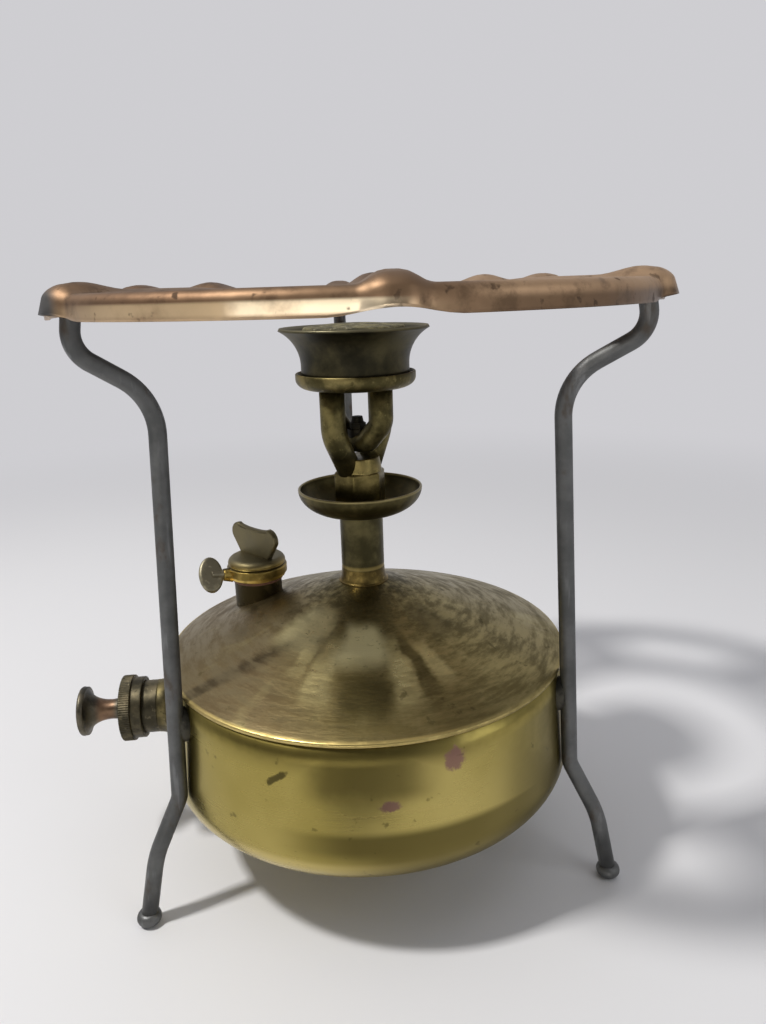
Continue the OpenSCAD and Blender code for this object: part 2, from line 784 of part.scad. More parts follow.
// Where along an arc side the grid lines lie: half of them fall on the ribs
rib_share = rib_half_w / ring_edge_r * 180 / PI / half_sector;
function arc_place(k) =
    let (x = abs(2 * k / arc_steps - 1),
         across = x >= 1 / 2 ? 1 - rib_share * 2 * (1 - x) : (1 - rib_share) * 2 * x)
    k < arc_steps / 2 ? across : -across;

// Corner-to-corner walk round a sector, as [across, out], each from -1 to 1
function border(j) =
    j <= left_corner ? [arc_place(j), 1] :
    j <= inner_corner ? [-1, 1 - 2 * (j - left_corner) / side_steps] :
    j <= right_corner ? [-arc_place(j - inner_corner), -1] :
    [1, -1 + 2 * (j - right_corner) / side_steps];
function walk_angle(j) =
    j <= left_corner ? 45 + 90 * j / arc_steps :
    j <= inner_corner ? 135 + 90 * (j - left_corner) / side_steps :
    j <= right_corner ? 225 + 90 * (j - inner_corner) / arc_steps :
    315 + 90 * (j - right_corner) / side_steps;
function rounded(x) = sign(x) * pow(abs(x), 2 / kidney_power);

// Radius and azimuth of a grid point, from the kidney's edge (row 0) to the sector's border
function grid_place(row, j) =
    let (b = border(j), t = walk_angle(j), s = row / grid_rows,
         kidney = [(kidney_out_r + kidney_in_r) / 2 + (kidney_out_r - kidney_in_r) / 2 * rounded(sin(t)),
                   kidney_half * rounded(cos(t))],
         edge = [(ring_edge_r + ring_hole_r) / 2 + (ring_edge_r - ring_hole_r) / 2 * b[1],
                 half_sector * b[0]])
    kidney * (1 - s) + edge * s;

function ring_point(sector, r, az, z) = polar(r, 2 * half_sector * sector + half_sector + az) + [0, 0, z];

// Skirt points below an edge point: round the bend, then down to the arched lower edge.
// Part of a nose's reach is gained round the bend, the rest on the way down
nose_share = 0.6;
function skirt_point(sector, layer, q, j) =
    let (az = half_sector * arc_place(j), across = rib_across(ring_edge_r, az),
         bend = skirt_bend_r - layer * ring_sheet,
         top = ring_z + ring_rise(ring_edge_r, az, 0) - skirt_bend_r,
         low = ring_z - skirt_h + arch_h * hump(across, arch_half_w),
         out = rib_nose * rib_section(across),
         t = 90 * q / bend_steps)
    q <= bend_steps
        ? ring_point(sector, ring_edge_r + (bend + out * nose_share * q / bend_steps) * sin(t), az,
                     top + bend * cos(t))
        : ring_point(sector, ring_edge_r + bend + out, az, low);

ring_points = concat(
    [for (sector = [0:sectors - 1], layer = [0, 1], row = [0:grid_rows], j = [0:loop_steps - 1])
        let (p = grid_place(row, j))
        ring_point(sector, p[0], p[1],
                   ring_z + ring_rise(p[0], p[1], inner_crest(sector, p[1])) - layer * ring_sheet)],
    [for (sector = [0:sectors - 1], layer = [0, 1], q = [1:bend_steps + 1], j = [0:arc_steps])
        skirt_point(sector, layer, q, j)]);

// Number of a grid point; a sector's right side is the next sector's left side
function grid_id(sector, layer, row, j) =
    let (turn = j % loop_steps,
         shared = row == grid_rows && (turn == 0 || turn >= right_corner),
         s = shared ? (sector + 1) % sectors : sector,
         k = !shared ? turn : turn == 0 ? left_corner : inner_corner - (turn - right_corner))
    ((s * 2 + layer) * (grid_rows + 1) + row) * loop_steps + k;
grid_count = sectors * 2 * (grid_rows + 1) * loop_steps;
function skirt_id(sector, layer, q, j) =
    q == 0 ? grid_id(sector, layer, grid_rows, j) :
    let (s = j == 0 ? (sector + 1) % sectors : sector, k = j == 0 ? arc_steps : j)
    grid_count + ((s * 2 + layer) * (bend_steps + 1) + q - 1) * (arc_steps + 1) + k;

// Two triangles of a four-sided patch, turned over on the lower layer
function patch(a, b, c, d, over) = over ? [[a, b, c], [a, c, d]] : [[a, c, b], [a, d, c]];

ring_faces = [for (sector = [0:sectors - 1]) each concat(
    [for (layer = [0, 1], row = [0:grid_rows - 1], j = [0:loop_steps - 1])
        each patch(grid_id(sector, layer, row, j), grid_id(sector, layer, row + 1, j),
                   grid_id(sector, layer, row + 1, j + 1), grid_id(sector, layer, row, j + 1), layer == 1)],
    [for (j = [0:loop_steps - 1])
        each patch(grid_id(sector, 1, 0, j), grid_id(sector, 0, 0, j),
                   grid_id(sector, 0, 0, j + 1), grid_id(sector, 1, 0, j + 1), false)],
    [for (j = [inner_corner:right_corner - 1])
        each patch(grid_id(sector, 0, grid_rows, j), grid_id(sector, 1, grid_rows, j),
                   grid_id(sector, 1, grid_rows, j + 1), grid_id(sector, 0, grid_rows, j + 1), false)],
    [for (layer = [0, 1], q = [0:bend_steps], j = [0:arc_steps - 1])
        each patch(skirt_id(sector, layer, q, j), skirt_id(sector, layer, q + 1, j),
                   skirt_id(sector, layer, q + 1, j + 1), skirt_id(sector, layer, q, j + 1), layer == 1)],
    [for (j = [0:arc_steps - 1])
        each patch(skirt_id(sector, 0, bend_steps + 1, j), skirt_id(sector, 1, bend_steps + 1, j),
                   skirt_id(sector, 1, bend_steps + 1, j + 1),
                   skirt_id(sector, 0, bend_steps + 1, j + 1), false)])];

module pan_ring() {
    color(copper) on_axis() translate([ring_off, 0, 0]) rotate([0, 0, ring_turn])
        polyhedron(points = ring_points, faces = ring_faces, convexity = 8);
}

// Legs

// The straight run leans past the wall at the knee and past the rolled seam
knee_r = leg_gap + leg_r / cos(leg_lean)
    + max(wall_r(knee_z), tank_r + bead_out + (seam_z + bead_r - knee_z) * tan(leg_lean));
function leg_run_r(z) = knee_r - (z - knee_z) * tan(leg_lean);
// Each hook follows the ring's offset
function hook_r(az) = ring_r - hook_in + ring_off * sin(az);
hook_top_z = ring_z + ring_rise(ring_r - hook_in, half_sector, 0) - ring_sheet - rest_gap - leg_r;
function leg_path(az) = [
    [hook_r(az), hook_top_z],
    [hook_r(az) + hook_out, ring_z - hook_drop],
    [leg_run_r(shoulder_z), shoulder_z],
    [knee_r, knee_z],
    [foot_circle_r - shin_in, shin_z],
    [foot_circle_r, foot_h / 2]];
leg_bend = [hook_bend_r, shoulder_bend_r, knee_bend_r, shin_bend_r];
leg_az = [-60, 60, 180];
foot_chamfer = 1;
foot_round = 60;

module leg(az) {
    color(steel) on_axis() to_azimuth(az) {
        bent_rod(leg_path(az), leg_bend, leg_r);
        translate([hook_r(az), 0, hook_top_z]) sphere(r = leg_r - elbow_swell);
        translate([foot_circle_r, 0, 0]) rotate_extrude() polygon(concat(
            [[0, 0], [foot_d / 2 - foot_chamfer, 0]],
            arc([foot_d / 2 - foot_h / 2, foot_h / 2], foot_h / 2, foot_h / 2,
                -foot_round, foot_round, small_steps),
            [[0, foot_h]]));
    }
}

module leg_left() { leg(leg_az[0]); }
module leg_right() { leg(leg_az[1]); }
module leg_back() { leg(leg_az[2]); }

module leg_solder() {
    middle_z = seam_z - 2 * bead_r - solder_h / 2;
    color(lead) on_axis() for (az = leg_az) to_azimuth(az) difference() {
        translate([wall_r(middle_z), 0, middle_z])
            rotate_extrude() polygon(arc([0, 0], solder_w / 2, solder_h / 2, -90, 90, curve_steps));
        wall_solid();
        bent_rod(leg_path(az), leg_bend, leg_r);
    }
}

// Pump

module pump_socket() {
    wall = wall_r(pump_z);
    color(brass) difference() {
        on_pump() translate([0, 0, wall - socket_h]) rotate_extrude() polygon(concat(
            [[barrel_r + fit, 0], [barrel_r + fit + socket_out, 0]],
            arc([barrel_r + fit + socket_out, 2 * socket_h], socket_out, socket_h, 270, 180, small_steps),
            [[barrel_r + fit, 2 * socket_h]]));
        on_axis() wall_solid();
    }
}

module pump_tube() {
    color(dark_brass) on_pump() translate([0, 0, barrel_start])
        ring(barrel_r, barrel_bore_r, barrel_end - barrel_start);
}

module pump_cap() {
    flange = cap_face - cap_flange_t;
    color(dark_brass) on_pump() rotate_extrude() polygon([
        [rod_r + fit, barrel_end],
        [barrel_r + fit, barrel_end],
        [barrel_r + fit, flange - cap_skirt_h],
        [cap_skirt_d / 2, flange - cap_skirt_h],
        [cap_skirt_d / 2, flange],
        [cap_d / 2, flange],
        [cap_d / 2, cap_face],
        [rod_r + fit, cap_face]]);
}

module pump_rod() {
    color(steel) on_pump() {
        translate([0, 0, leather_start]) cylinder(r = rod_r, h = knob_end - knob_rim_t - leather_start);
        translate([0, 0, disc_end]) cylinder(r = rod_r + rod_collar, h = rod_collar);
    }
}

knob_neck_share = 0.35;
knob_chamfer = 0.6;

module pump_knob() {
    waist = knob_waist_d / 2;
    base = knob_base_d / 2;
    grip = knob_h - knob_rim_t;
    neck = grip * knob_neck_share;
    color(dark_brass) on_pump() translate([0, 0, knob_start]) rotate_extrude() polygon(concat(
        [[rod_r, 0], [base, 0]],
        arc([base, neck], base - waist, neck, 270, 180, dish_steps),
        arc([knob_d / 2, neck], knob_d / 2 - waist, grip - neck, 180, 90, dish_steps),
        [[knob_d / 2, knob_h - knob_chamfer],
         [knob_d / 2 - knob_chamfer, knob_h],
         [0, knob_h],
         [0, grip],
         [rod_r, grip]]));
}

module pump_leather() {
    edge = barrel_bore_r - fit;
    color(hide) on_pump() rotate_extrude() polygon([
        [rod_r, leather_end],
        [edge - leather_t, leather_end],
        [edge, leather_end - leather_t],
        [edge, leather_start],
        [edge - leather_t, leather_start],
        [edge - leather_t, leather_end - leather_t],
        [rod_r, leather_end - leather_t]]);
}

module leather_disc() {
    color(brass) on_pump() translate([0, 0, leather_end]) ring(barrel_bore_r - leather_t, rod_r, disc_t);
}

module leather_nut() {
    color(brass) on_pump() translate([0, 0, leather_end - leather_t - nut_h]) difference() {
        hexagon(nut_af, nut_h);
        translate([0, 0, -past]) cylinder(r = rod_r, h = nut_h + 2 * past);
    }
}

// Check valve

module valve_body() {
    color(brass) on_pump() difference() {
        union() {
            translate([0, 0, valve_start]) cylinder(r = barrel_r, h = valve_flange_t);
            translate([0, 0, valve_start]) cylinder(r = barrel_bore_r - fit, h = valve_seat - valve_start);
        }
        translate([0, 0, chamber_start]) cylinder(r = chamber_r, h = chamber_end - chamber_start);
        translate([0, 0, valve_start - past]) cylinder(r = port_r, h = valve_seat - valve_start + 2 * past);
    }
}

module valve_washer() {
    color(lead) on_pump() translate([0, 0, barrel_start - valve_washer_t])
        ring(barrel_r, barrel_bore_r, valve_washer_t);
}

module valve_pip() {
    color(hide) on_pump() translate([0, 0, chamber_end - pip_h])
        cylinder(r = chamber_r - pip_gap, h = pip_h);
}

wire_r = wire_d / 2;
spring_gap = 0.1;
spring_length = chamber_end - pip_h - chamber_start - 2 * spring_gap - wire_d;
spring_rings = 8;
wire_sides = 6;
spring_count = spring_rings * spring_turns;
spring_pitch = spring_length / spring_turns;

function spring_point(i, side) =
    let (t = 360 * i / spring_rings, a = 360 * side / wire_sides, r = spring_r + wire_r * cos(a))
    [r * cos(t), r * sin(t), spring_pitch * i / spring_rings + wire_r * sin(a)];

// Least gap between neighbouring turns, measured on the points
spring_clear = min([for (i = [0:spring_rings - 1], a = [0:wire_sides - 1], b = [0:wire_sides - 1])
    norm(spring_point(i, a) - spring_point(i + spring_rings, b))]);
echo(spring_clear = spring_clear);

module valve_spring() {
    points = [for (i = [0:spring_count], side = [0:wire_sides - 1]) spring_point(i, side)];
    sides = [for (i = [0:spring_count - 1], side = [0:wire_sides - 1])
        let (a = i * wire_sides + side, b = i * wire_sides + (side + 1) % wire_sides)
        each [[a, b + wire_sides, b], [a, a + wire_sides, b + wire_sides]]];
    ends = [for (k = [1:wire_sides - 2])
        each [[0, k, k + 1], [0, k + 1, k] + spring_count * wire_sides * [1, 1, 1]]];
    color(steel) on_pump() translate([0, 0, chamber_start + spring_gap + wire_r])
        polyhedron(points = points, faces = concat(sides, ends));
}

// Filler

module filler_neck() {
    color(brass) on_filler() translate([0, 0, -neck_h - neck_below])
        ring(neck_r, neck_bore_r, neck_h + neck_below);
}

gasket_out = 0.6;

module filler_gasket() {
    color(hide) on_filler() ring(neck_r + gasket_out, neck_bore_r, gasket_t);
}

// The wing plate stands this far into the cap
wing_root = 0.5;

module wing_outline() {
    tip = wing_w / 2 - wing_tip_r;
    tip_z = wing_h - wing_tip_r;
    for (side = [-1, 1]) translate([side * tip, tip_z]) circle(r = wing_tip_r);
    polygon([
        [-waist_w / 2, -wing_root],
        [waist_w / 2, -wing_root],
        [tip + wing_tip_r * cos(wing_flank), tip_z - wing_tip_r * sin(wing_flank)],
        [tip, wing_h],
        [0, wing_h - wing_notch],
        [-tip, wing_h],
        [-tip - wing_tip_r * cos(wing_flank), tip_z - wing_tip_r * sin(wing_flank)]]);
}

// Heights up the cap
lip_top = gasket_t + filler_lip_h;
flange_top = gasket_t + filler_flange_h;
drum_top = flange_top + filler_drum_h;
air_z = gasket_t + air_rise;
cap_groove = 0.5;
drum_round = 2.4;
nose_root = 1.6;
nose_root_wall = 1.2;
nose_lip = 0.6;
// The air screw's thread is short; a thin needle reaches on towards the cap's middle
thread_depth = 1.3;
needle_depth = filler_flange_d / 5;
needle_r = air_r / 2;

// Local +X runs out along the air screw, from the edge of the cap's flange
module on_air_screw() {
    on_filler() to_azimuth(air_az) translate([filler_flange_d / 2, 0, air_z])
        rotate([0, -air_tilt, 0]) children();
}

module along_x(from, to, r1, r2) {
    translate([from, 0, 0]) rotate([0, 90, 0]) cylinder(r1 = r1, r2 = r2, h = to - from);
}

module filler_cap() {
    flange_r = filler_flange_d / 2;
    drum_r = filler_drum_d / 2;
    plug_r = neck_bore_r - fit;
    lip_r = flange_r - filler_lip_in;
    color(brass) difference() {
        union() {
            on_filler() rotate_extrude() polygon(concat(
                [[0, gasket_t - plug_h], [plug_r, gasket_t - plug_h], [plug_r, gasket_t]],
                [[lip_r, gasket_t], [lip_r, lip_top], [flange_r, lip_top]],
                [[flange_r, flange_top - cap_groove], [drum_r - cap_groove, flange_top]],
                [[drum_r, flange_top + cap_groove]],
                arc([drum_r - drum_round, drum_top - drum_round], drum_round, drum_round, 0, 90, small_steps),
                [[0, drum_top]]));
            on_filler() rotate([0, 0, wing_turn]) translate([0, wing_t / 2, drum_top]) rotate([90, 0, 0])
                linear_extrude(wing_t) wing_outline();
            on_air_screw() along_x(-nose_root, nose_h, air_r + nose_root_wall, air_r + nose_lip);
        }
        on_air_screw() along_x(-thread_depth, nose_h + past, air_r + fit, air_r + fit);
        on_air_screw() along_x(-needle_depth, 0, needle_r + fit, needle_r + fit);
    }
}

thumb_steps = 23;

module air_screw() {
    lobe = thumb_w / 2;
    middle = nose_h + fit + lobe;
    color(brass) on_air_screw() {
        along_x(fit - thread_depth, middle, air_r, air_r);
        along_x(fit - needle_depth, 0, needle_r, needle_r);
        translate([middle, 0, 0]) rotate([air_turn, 0, 0]) translate([0, thumb_t / 2, 0]) rotate([90, 0, 0])
            linear_extrude(thumb_t)
                polygon(arc([0, 0], lobe, thumb_h / 2, 0, 360 - 360 / (thumb_steps + 1), thumb_steps));
    }
}

tank_pan();
tank_top();
riser_collar();
riser_tube();
pickup_tube();
spirit_cup();
burner_washer();
burner_base();
up_tubes();
vapour_tube();
jet_boss();
jet_nipple();
burner_head();
burner_bell();
flame_plate();
pan_ring();
leg_left();
leg_right();
leg_back();
leg_solder();
pump_socket();
pump_tube();
pump_cap();
pump_rod();
pump_knob();
pump_leather();
leather_disc();
leather_nut();
valve_body();
valve_washer();
valve_pip();
valve_spring();
filler_neck();
filler_gasket();
filler_cap();
air_screw();
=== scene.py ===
"""Brass paraffin pressure stove: tank with hand pump and filler, riser, burner, pan ring, bent legs."""
import math

import bmesh
import bpy
import numpy as np
from mathutils import Matrix, Vector


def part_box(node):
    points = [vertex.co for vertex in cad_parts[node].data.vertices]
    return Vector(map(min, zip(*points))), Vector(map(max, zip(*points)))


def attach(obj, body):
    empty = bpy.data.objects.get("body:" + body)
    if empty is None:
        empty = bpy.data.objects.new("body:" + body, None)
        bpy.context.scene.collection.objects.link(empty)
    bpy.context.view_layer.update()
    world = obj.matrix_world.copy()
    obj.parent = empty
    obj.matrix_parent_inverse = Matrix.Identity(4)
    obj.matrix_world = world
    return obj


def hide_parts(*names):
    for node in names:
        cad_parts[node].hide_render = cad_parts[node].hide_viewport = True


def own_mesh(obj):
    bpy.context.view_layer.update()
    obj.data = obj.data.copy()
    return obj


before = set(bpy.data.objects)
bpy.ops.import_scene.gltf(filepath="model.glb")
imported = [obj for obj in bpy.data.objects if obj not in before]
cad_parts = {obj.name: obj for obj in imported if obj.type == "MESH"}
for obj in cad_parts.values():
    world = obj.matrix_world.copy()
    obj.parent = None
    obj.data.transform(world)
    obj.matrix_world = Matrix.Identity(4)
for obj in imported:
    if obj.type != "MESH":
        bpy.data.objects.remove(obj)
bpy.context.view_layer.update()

# Tank pan. A brass blank pressed into a pan with a rounded bottom edge and a dished floor.
# Its wall leans out towards the bottom. Years of rubbing have left it yellow, with a scratch, pits
# and mauve stains. Painted shade darkens it under the seam and on the right, painted dark reflections
# lie in the middle and along the bottom edge, and a painted highlight lies on the bottom edge at the left.

mm = 0.001
axis_x = 4.425
bottom_z, seam_z = (corner.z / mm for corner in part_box("tank_pan"))


def grid_piece(name, *grids):
    """One mesh from grids of points in millimetres, each (rows, columns, xyz): quads join neighbours,
    points that coincide are merged, so poles and seams close, and all faces are turned outwards."""
    points, quads, count = [], [], 0
    for grid in grids:
        rows, columns = grid.shape[:2]
        number = np.arange(rows * columns).reshape(rows, columns) + count
        corners = (number[:-1, :-1], number[:-1, 1:], number[1:, 1:], number[1:, :-1])
        quads.append(np.stack(corners, -1).reshape(-1, 4))
        points.append(grid.reshape(-1, 3) * mm)
        count += rows * columns
    mesh = bpy.data.meshes.new(name)
    mesh.from_pydata(np.concatenate(points), [], np.concatenate(quads))
    shell = bmesh.new()
    shell.from_mesh(mesh)
    bmesh.ops.remove_doubles(shell, verts=shell.verts, dist=1e-6)
    bmesh.ops.dissolve_degenerate(shell, edges=shell.edges, dist=1e-7)
    bmesh.ops.recalc_face_normals(shell, faces=shell.faces)
    shell.to_mesh(mesh)
    shell.free()
    mesh.polygons.foreach_set("use_smooth", np.ones(len(mesh.polygons), bool))
    piece = bpy.data.objects.new(name, mesh)
    bpy.context.scene.collection.objects.link(piece)
    return piece


def eased(outline, radius, steps=4):
    """Closed outline with every corner eased: a curve (1-t)^2 a + 2t(1-t) p + t^2 b from a cut before
    the corner p to a cut after it, and a point beyond each cut that keeps the flats flat."""
    p = np.asarray(outline, float)
    ends = np.stack([np.roll(p, 1, 0), np.roll(p, -1, 0)]) - p
    reach = np.linalg.norm(ends, axis=-1, keepdims=True)
    cut = np.minimum(radius, 0.3 * reach.min(0))
    a, b = p + ends / reach * cut
    far_a, far_b = p + ends / reach * cut * 1.5
    t = np.linspace(0, 1, steps)[None, :, None]
    curve = (1 - t) ** 2 * a[:, None] + 2 * t * (1 - t) * p[:, None] + t ** 2 * b[:, None]
    return np.concatenate([far_a[:, None], curve, far_b[:, None]], axis=1).reshape(-1, 2)


def bow(centre, a, b, start, end, steps):
    """Elliptic arc: centre + (a cos t, b sin t), t in degrees from start to end."""
    t = np.radians(np.linspace(start, end, steps))
    return np.c_[centre[0] + a * np.cos(t), centre[1] + b * np.sin(t)]


def spun(outline, turns, origin=(axis_x, 0, 0), out=(1, 0, 0), side=(0, 1, 0), up=(0, 0, 1)):
    """A closed (r, h) outline carried round an axis: origin + r (cos a out + sin a side) + h up."""
    loop = np.r_[outline, outline[:1]]
    a = np.linspace(0, 2 * np.pi, turns + 1)[None, :, None]
    r, h = loop[:, 0, None, None], loop[:, 1, None, None]
    origin, out, side, up = (np.array(vector) for vector in (origin, out, side, up))
    return origin + r * (np.cos(a) * out + np.sin(a) * side) + h * up


class Paint:
    """A value in a material. Arithmetic on it adds Math nodes, and node() adds any other node."""

    def __init__(self, tree, socket=None):
        self.tree, self.socket = tree, socket

    def plug(self, node, sockets):
        for key, value in sockets.items():
            if isinstance(value, Paint):
                self.tree.links.new(value.socket, node.inputs[key])
            else:
                node.inputs[key].default_value = value

    def node(self, kind, sockets={}, output=0, **settings):
        made = self.tree.nodes.new("ShaderNode" + kind)
        for key, value in settings.items():
            setattr(made, key, value)
        self.plug(made, sockets)
        return Paint(self.tree, made.outputs[output])

    def feed(self, **sockets):
        """Constants and worked-out values for the material's shader."""
        named = {key.replace("_", " "): value for key, value in sockets.items()}
        self.plug(self.tree.nodes["Principled BSDF"], named)

    def maths(self, operation, first, second=0.0):
        return self.node("Math", {0: first, 1: second}, operation=operation)

    def __add__(self, other):
        return self.maths("ADD", self, other)

    def __sub__(self, other):
        return self.maths("SUBTRACT", self, other)

    def __rsub__(self, other):
        return self.maths("SUBTRACT", other, self)

    def __mul__(self, other):
        return self.maths("MULTIPLY", self, other)

    def __truediv__(self, other):
        return self.maths("DIVIDE", self, other)

    __radd__, __rmul__ = __add__, __mul__

    def most(self, *others):
        """The greatest of this value and some others."""
        greatest = self
        for other in others:
            greatest = self.maths("MAXIMUM", greatest, other)
        return greatest

    def step(self, low, high):
        """0 below low, 1 above high, smooth between."""
        return self.node("MapRange", {"Value": self, "From Min": low, "From Max": high},
                         interpolation_type="SMOOTHSTEP")

    def band(self, low, full, fade, high):
        """1 from full to fade, 0 below low and above high, smooth between."""
        return self.step(low, full) - self.step(fade, high)

    def place(self, stretch=(1, 1, 1), centre=(0, 0, 0)):
        """Object coordinates in metres from a centre, stretched along the axes."""
        spot = self.node("TexCoord", output=3)
        moved = self.node("VectorMath", {0: spot, 1: centre}, operation="SUBTRACT")
        return self.node("VectorMath", {0: moved, 1: stretch}, operation="MULTIPLY")

    def part(self, axis):
        return self.node("SeparateXYZ", {0: self}, axis)

    def length(self):
        return self.node("VectorMath", {0: self}, 1, operation="LENGTH")

    def clouds(self, scale, detail, roughness=0.55, where=None):
        """Cloudy noise from 0 to 1; scale is in features per metre."""
        return self.node("TexNoise", {"Vector": where or self.place(), "Scale": scale, "Detail": detail,
                                      "Roughness": roughness})

    def mix(self, colour, *coats):
        """A colour under coats of others, each given with its share from 0 to 1."""
        for coat, share in coats:
            under, over = (c if isinstance(c, Paint) else (*c, 1) for c in (colour, coat))
            colour = self.node("Mix", {0: share, 6: under, 7: over}, 2, data_type="RGBA")
        return colour

    def bump(self, height, distance, strength):
        return self.node("Bump", {"Height": height, "Distance": distance, "Strength": strength})


def finish_of(name):
    """A new material, and a Paint to work its values out with."""
    material = bpy.data.materials.new(name)
    material.use_nodes = True
    return material, Paint(material.node_tree)


def fit(name, material, slot, node, *grids, body="stove"):
    """Makes a piece, gives it its finish, sets it on its body and lets it stand for its CAD node."""
    piece = grid_piece(name, *grids)
    piece.data.materials.append(material)
    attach(piece, body)
    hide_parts(node)
    return piece


tank_r, wall_lean, corner_r, dish, sheet = 74.5, 4.0, 13.0, 5.0, 1.0
wall_slope = math.tan(math.radians(wall_lean))
corner_z = bottom_z + corner_r


def wall_r(z):
    """The leaning wall's radius at a height."""
    return tank_r + (seam_z - z) * wall_slope


floor_r = wall_r(corner_z) - corner_r / math.cos(math.radians(wall_lean))
bulge = (floor_r ** 2 + dish ** 2) / (2 * dish)


def pan_outline(inset):
    """Straight leaning wall, quarter-round edge, then the dish r -> sqrt(bulge^2 - r^2), in to the axis."""
    wall_z = np.linspace(seam_z, corner_z + 2, 6)
    wall = np.c_[wall_r(wall_z) - inset, wall_z]
    edge = bow((floor_r, corner_z), corner_r - inset, corner_r - inset, wall_lean, -90, 28)
    r = np.linspace(floor_r, 0, 24)[1:]
    floor = np.c_[r, bottom_z + inset + dish - bulge + np.sqrt(bulge ** 2 - r ** 2)]
    return np.r_[wall, edge, floor]


def mark(paint, centre, along, across):
    """A ragged patch on a surface: 1 within an ellipse of two half axes, given as vectors in millimetres
    from the tank's axis, whose edge is broken by noise; 0 further off, so the far wall stays clean."""
    spot = paint.place(centre=np.add(centre, (axis_x, 0, 0)) * mm)
    a, b = (paint.node("VectorMath", {0: spot, 1: np.array(v) / np.dot(v, v) / mm}, 1,
                       operation="DOT_PRODUCT") for v in (along, across))
    far = paint.maths("SQRT", a * a + b * b) + 1.8 * (paint.clouds(330, 4, 0.65) - 0.5)
    return (1 - far.step(0.65, 1.15)) * (1 - (spot.length() / mm).step(15, 20))


side_brass, paint = finish_of("rubbed yellow brass")
height = paint.place().part(2) / mm
side = paint.place().part(0) / mm - axis_x
cloud = paint.clouds(22, 5, 0.6)
wear_and_sheen = paint.clouds(11, 4).step(0.36, 0.64)
drawn = paint.clouds(1, 3, 0.6, paint.place((18, 18, 900)))
ragged = 9 * (paint.clouds(45, 4, 0.6) - 0.5)
pit = paint.clouds(190, 3, 0.55).step(0.68, 0.75)
# Painted shadow: a cloudy dark band under the seam's bead.
seam_shadow = height.step(seam_z - 12, seam_z - 1) * cloud.step(0.28, 0.6)
# Painted dark reflection: a band where the bottom edge starts to round, weaker on the right.
edge_band = height.band(40, 44.5, 48, 51.5) * side.step(-40, -10)
edge_dark_reflection = edge_band * cloud.step(0.16, 0.4) * (0.95 - 0.25 * side.step(20, 60))
# Painted dark reflection: the bottom edge darker from left of centre to the right.
belly_dark_reflection = (1 - height.step(40, 44.5)) * side.step(-32, 4) * cloud.step(0.12, 0.4)
# Painted shade: the wall darker on its right side, away from the lamp.
right_shade = side.step(24, 62) * cloud.step(0.22, 0.56)
# Painted dark reflection: a ragged dark patch in the middle of the wall, running up to the seam.
mid_dark_reflection = (height + ragged).step(57, 66) * (side + ragged).band(-29, -17, 4, 22)
# These painted shades and dark reflections darken the brass and make it rougher.
shade_and_dark_reflections = seam_shadow.most(edge_dark_reflection + 0.9 * belly_dark_reflection, right_shade * 0.85, mid_dark_reflection * 0.85)
# Painted highlight: the bottom edge paler, strongest on the left where the lamp is.
rim_highlight = (1 - height.step(37.8, 40.6)) * (1 - 0.9 * side.step(-38, 16))
scratch = mark(paint, (-33.6, -67.4, 67), (3.6, -1.8, 3), (-0.7, 0.4, 1.05))
stain = mark(paint, (21, -72, 71.5), (3.4, 1, 0), (0, 0, 4.4)).most(
    mark(paint, (0.1, -75.9, 59.2), (3.2, 0, 0), (0, 0, 2)))
paint.feed(
    Base_Color=paint.mix(
        (0.33, 0.265, 0.07), ((0.5, 0.405, 0.135), wear_and_sheen), ((0.085, 0.066, 0.018), shade_and_dark_reflections * 0.85),
        ((0.62, 0.5, 0.19), rim_highlight * 0.65), ((0.22, 0.115, 0.105), stain * 0.85),
        ((0.055, 0.045, 0.015), (scratch * 0.85).most(pit * 0.5))),
    Metallic=1, Roughness=0.18 + 0.16 * shade_and_dark_reflections + 0.12 * cloud + 0.2 * scratch + 0.06 * drawn,
    Normal=paint.bump(paint.clouds(24, 2) + 0.05 * drawn, 0.0012, 0.35))
fit("tank_pan_brass", side_brass, "tank_brass", "tank_pan",
    spun(np.r_[pan_outline(0), pan_outline(sheet)[::-1]], 200))

# Tank top. A spun brass cone whose edge is rolled over the pan and soldered. It lies under the
# flame's heat and the spilt fuel, so it is browned in patches, with a dull film at the front. Pale
# streaks down the slope are painted reflections, painted shade lies round the riser under the cup,
# and a painted highlight runs along the rolled seam, fading on the right.

slope = math.tan(math.radians(20))
bead_r, bead_out, hole_r, fold_r = 0.9, 0.5, 8.05, 73.5
cone_z = seam_z + 2 * bead_r + tank_r * slope
bead = bow((tank_r + bead_out - bead_r, seam_z + bead_r), bead_r, bead_r, 70, -90, 14)
upper_r = np.array([hole_r, 9.0, 20.0, 45.0, 70.0, 73.0])
lower_r = np.array([fold_r, 72.0, 45.0, 20.0, hole_r])
lower_z = cone_z - lower_r * slope - sheet / math.cos(math.atan(slope))
top_outline = np.r_[np.c_[upper_r, cone_z - upper_r * slope], bead, [[fold_r, seam_z]],
                    np.c_[lower_r, lower_z]]

cone_brass, paint = finish_of("browned brass")
spot = paint.place(centre=(axis_x * mm, 0.0, 0.0))
x, y = spot.part(0), spot.part(1)
out = paint.maths("SQRT", x * x + y * y) / mm
angle = paint.maths("ARCTAN2", x, 0 - y)
across, along = paint.maths("COSINE", angle), paint.maths("SINE", angle)


def fanned(round_scale, out_scale):
    """Coordinates that run round the cone and down its slope, on which noise makes streaks or rings."""
    return paint.node("CombineXYZ", {0: across * round_scale, 1: along * round_scale, 2: out * out_scale})


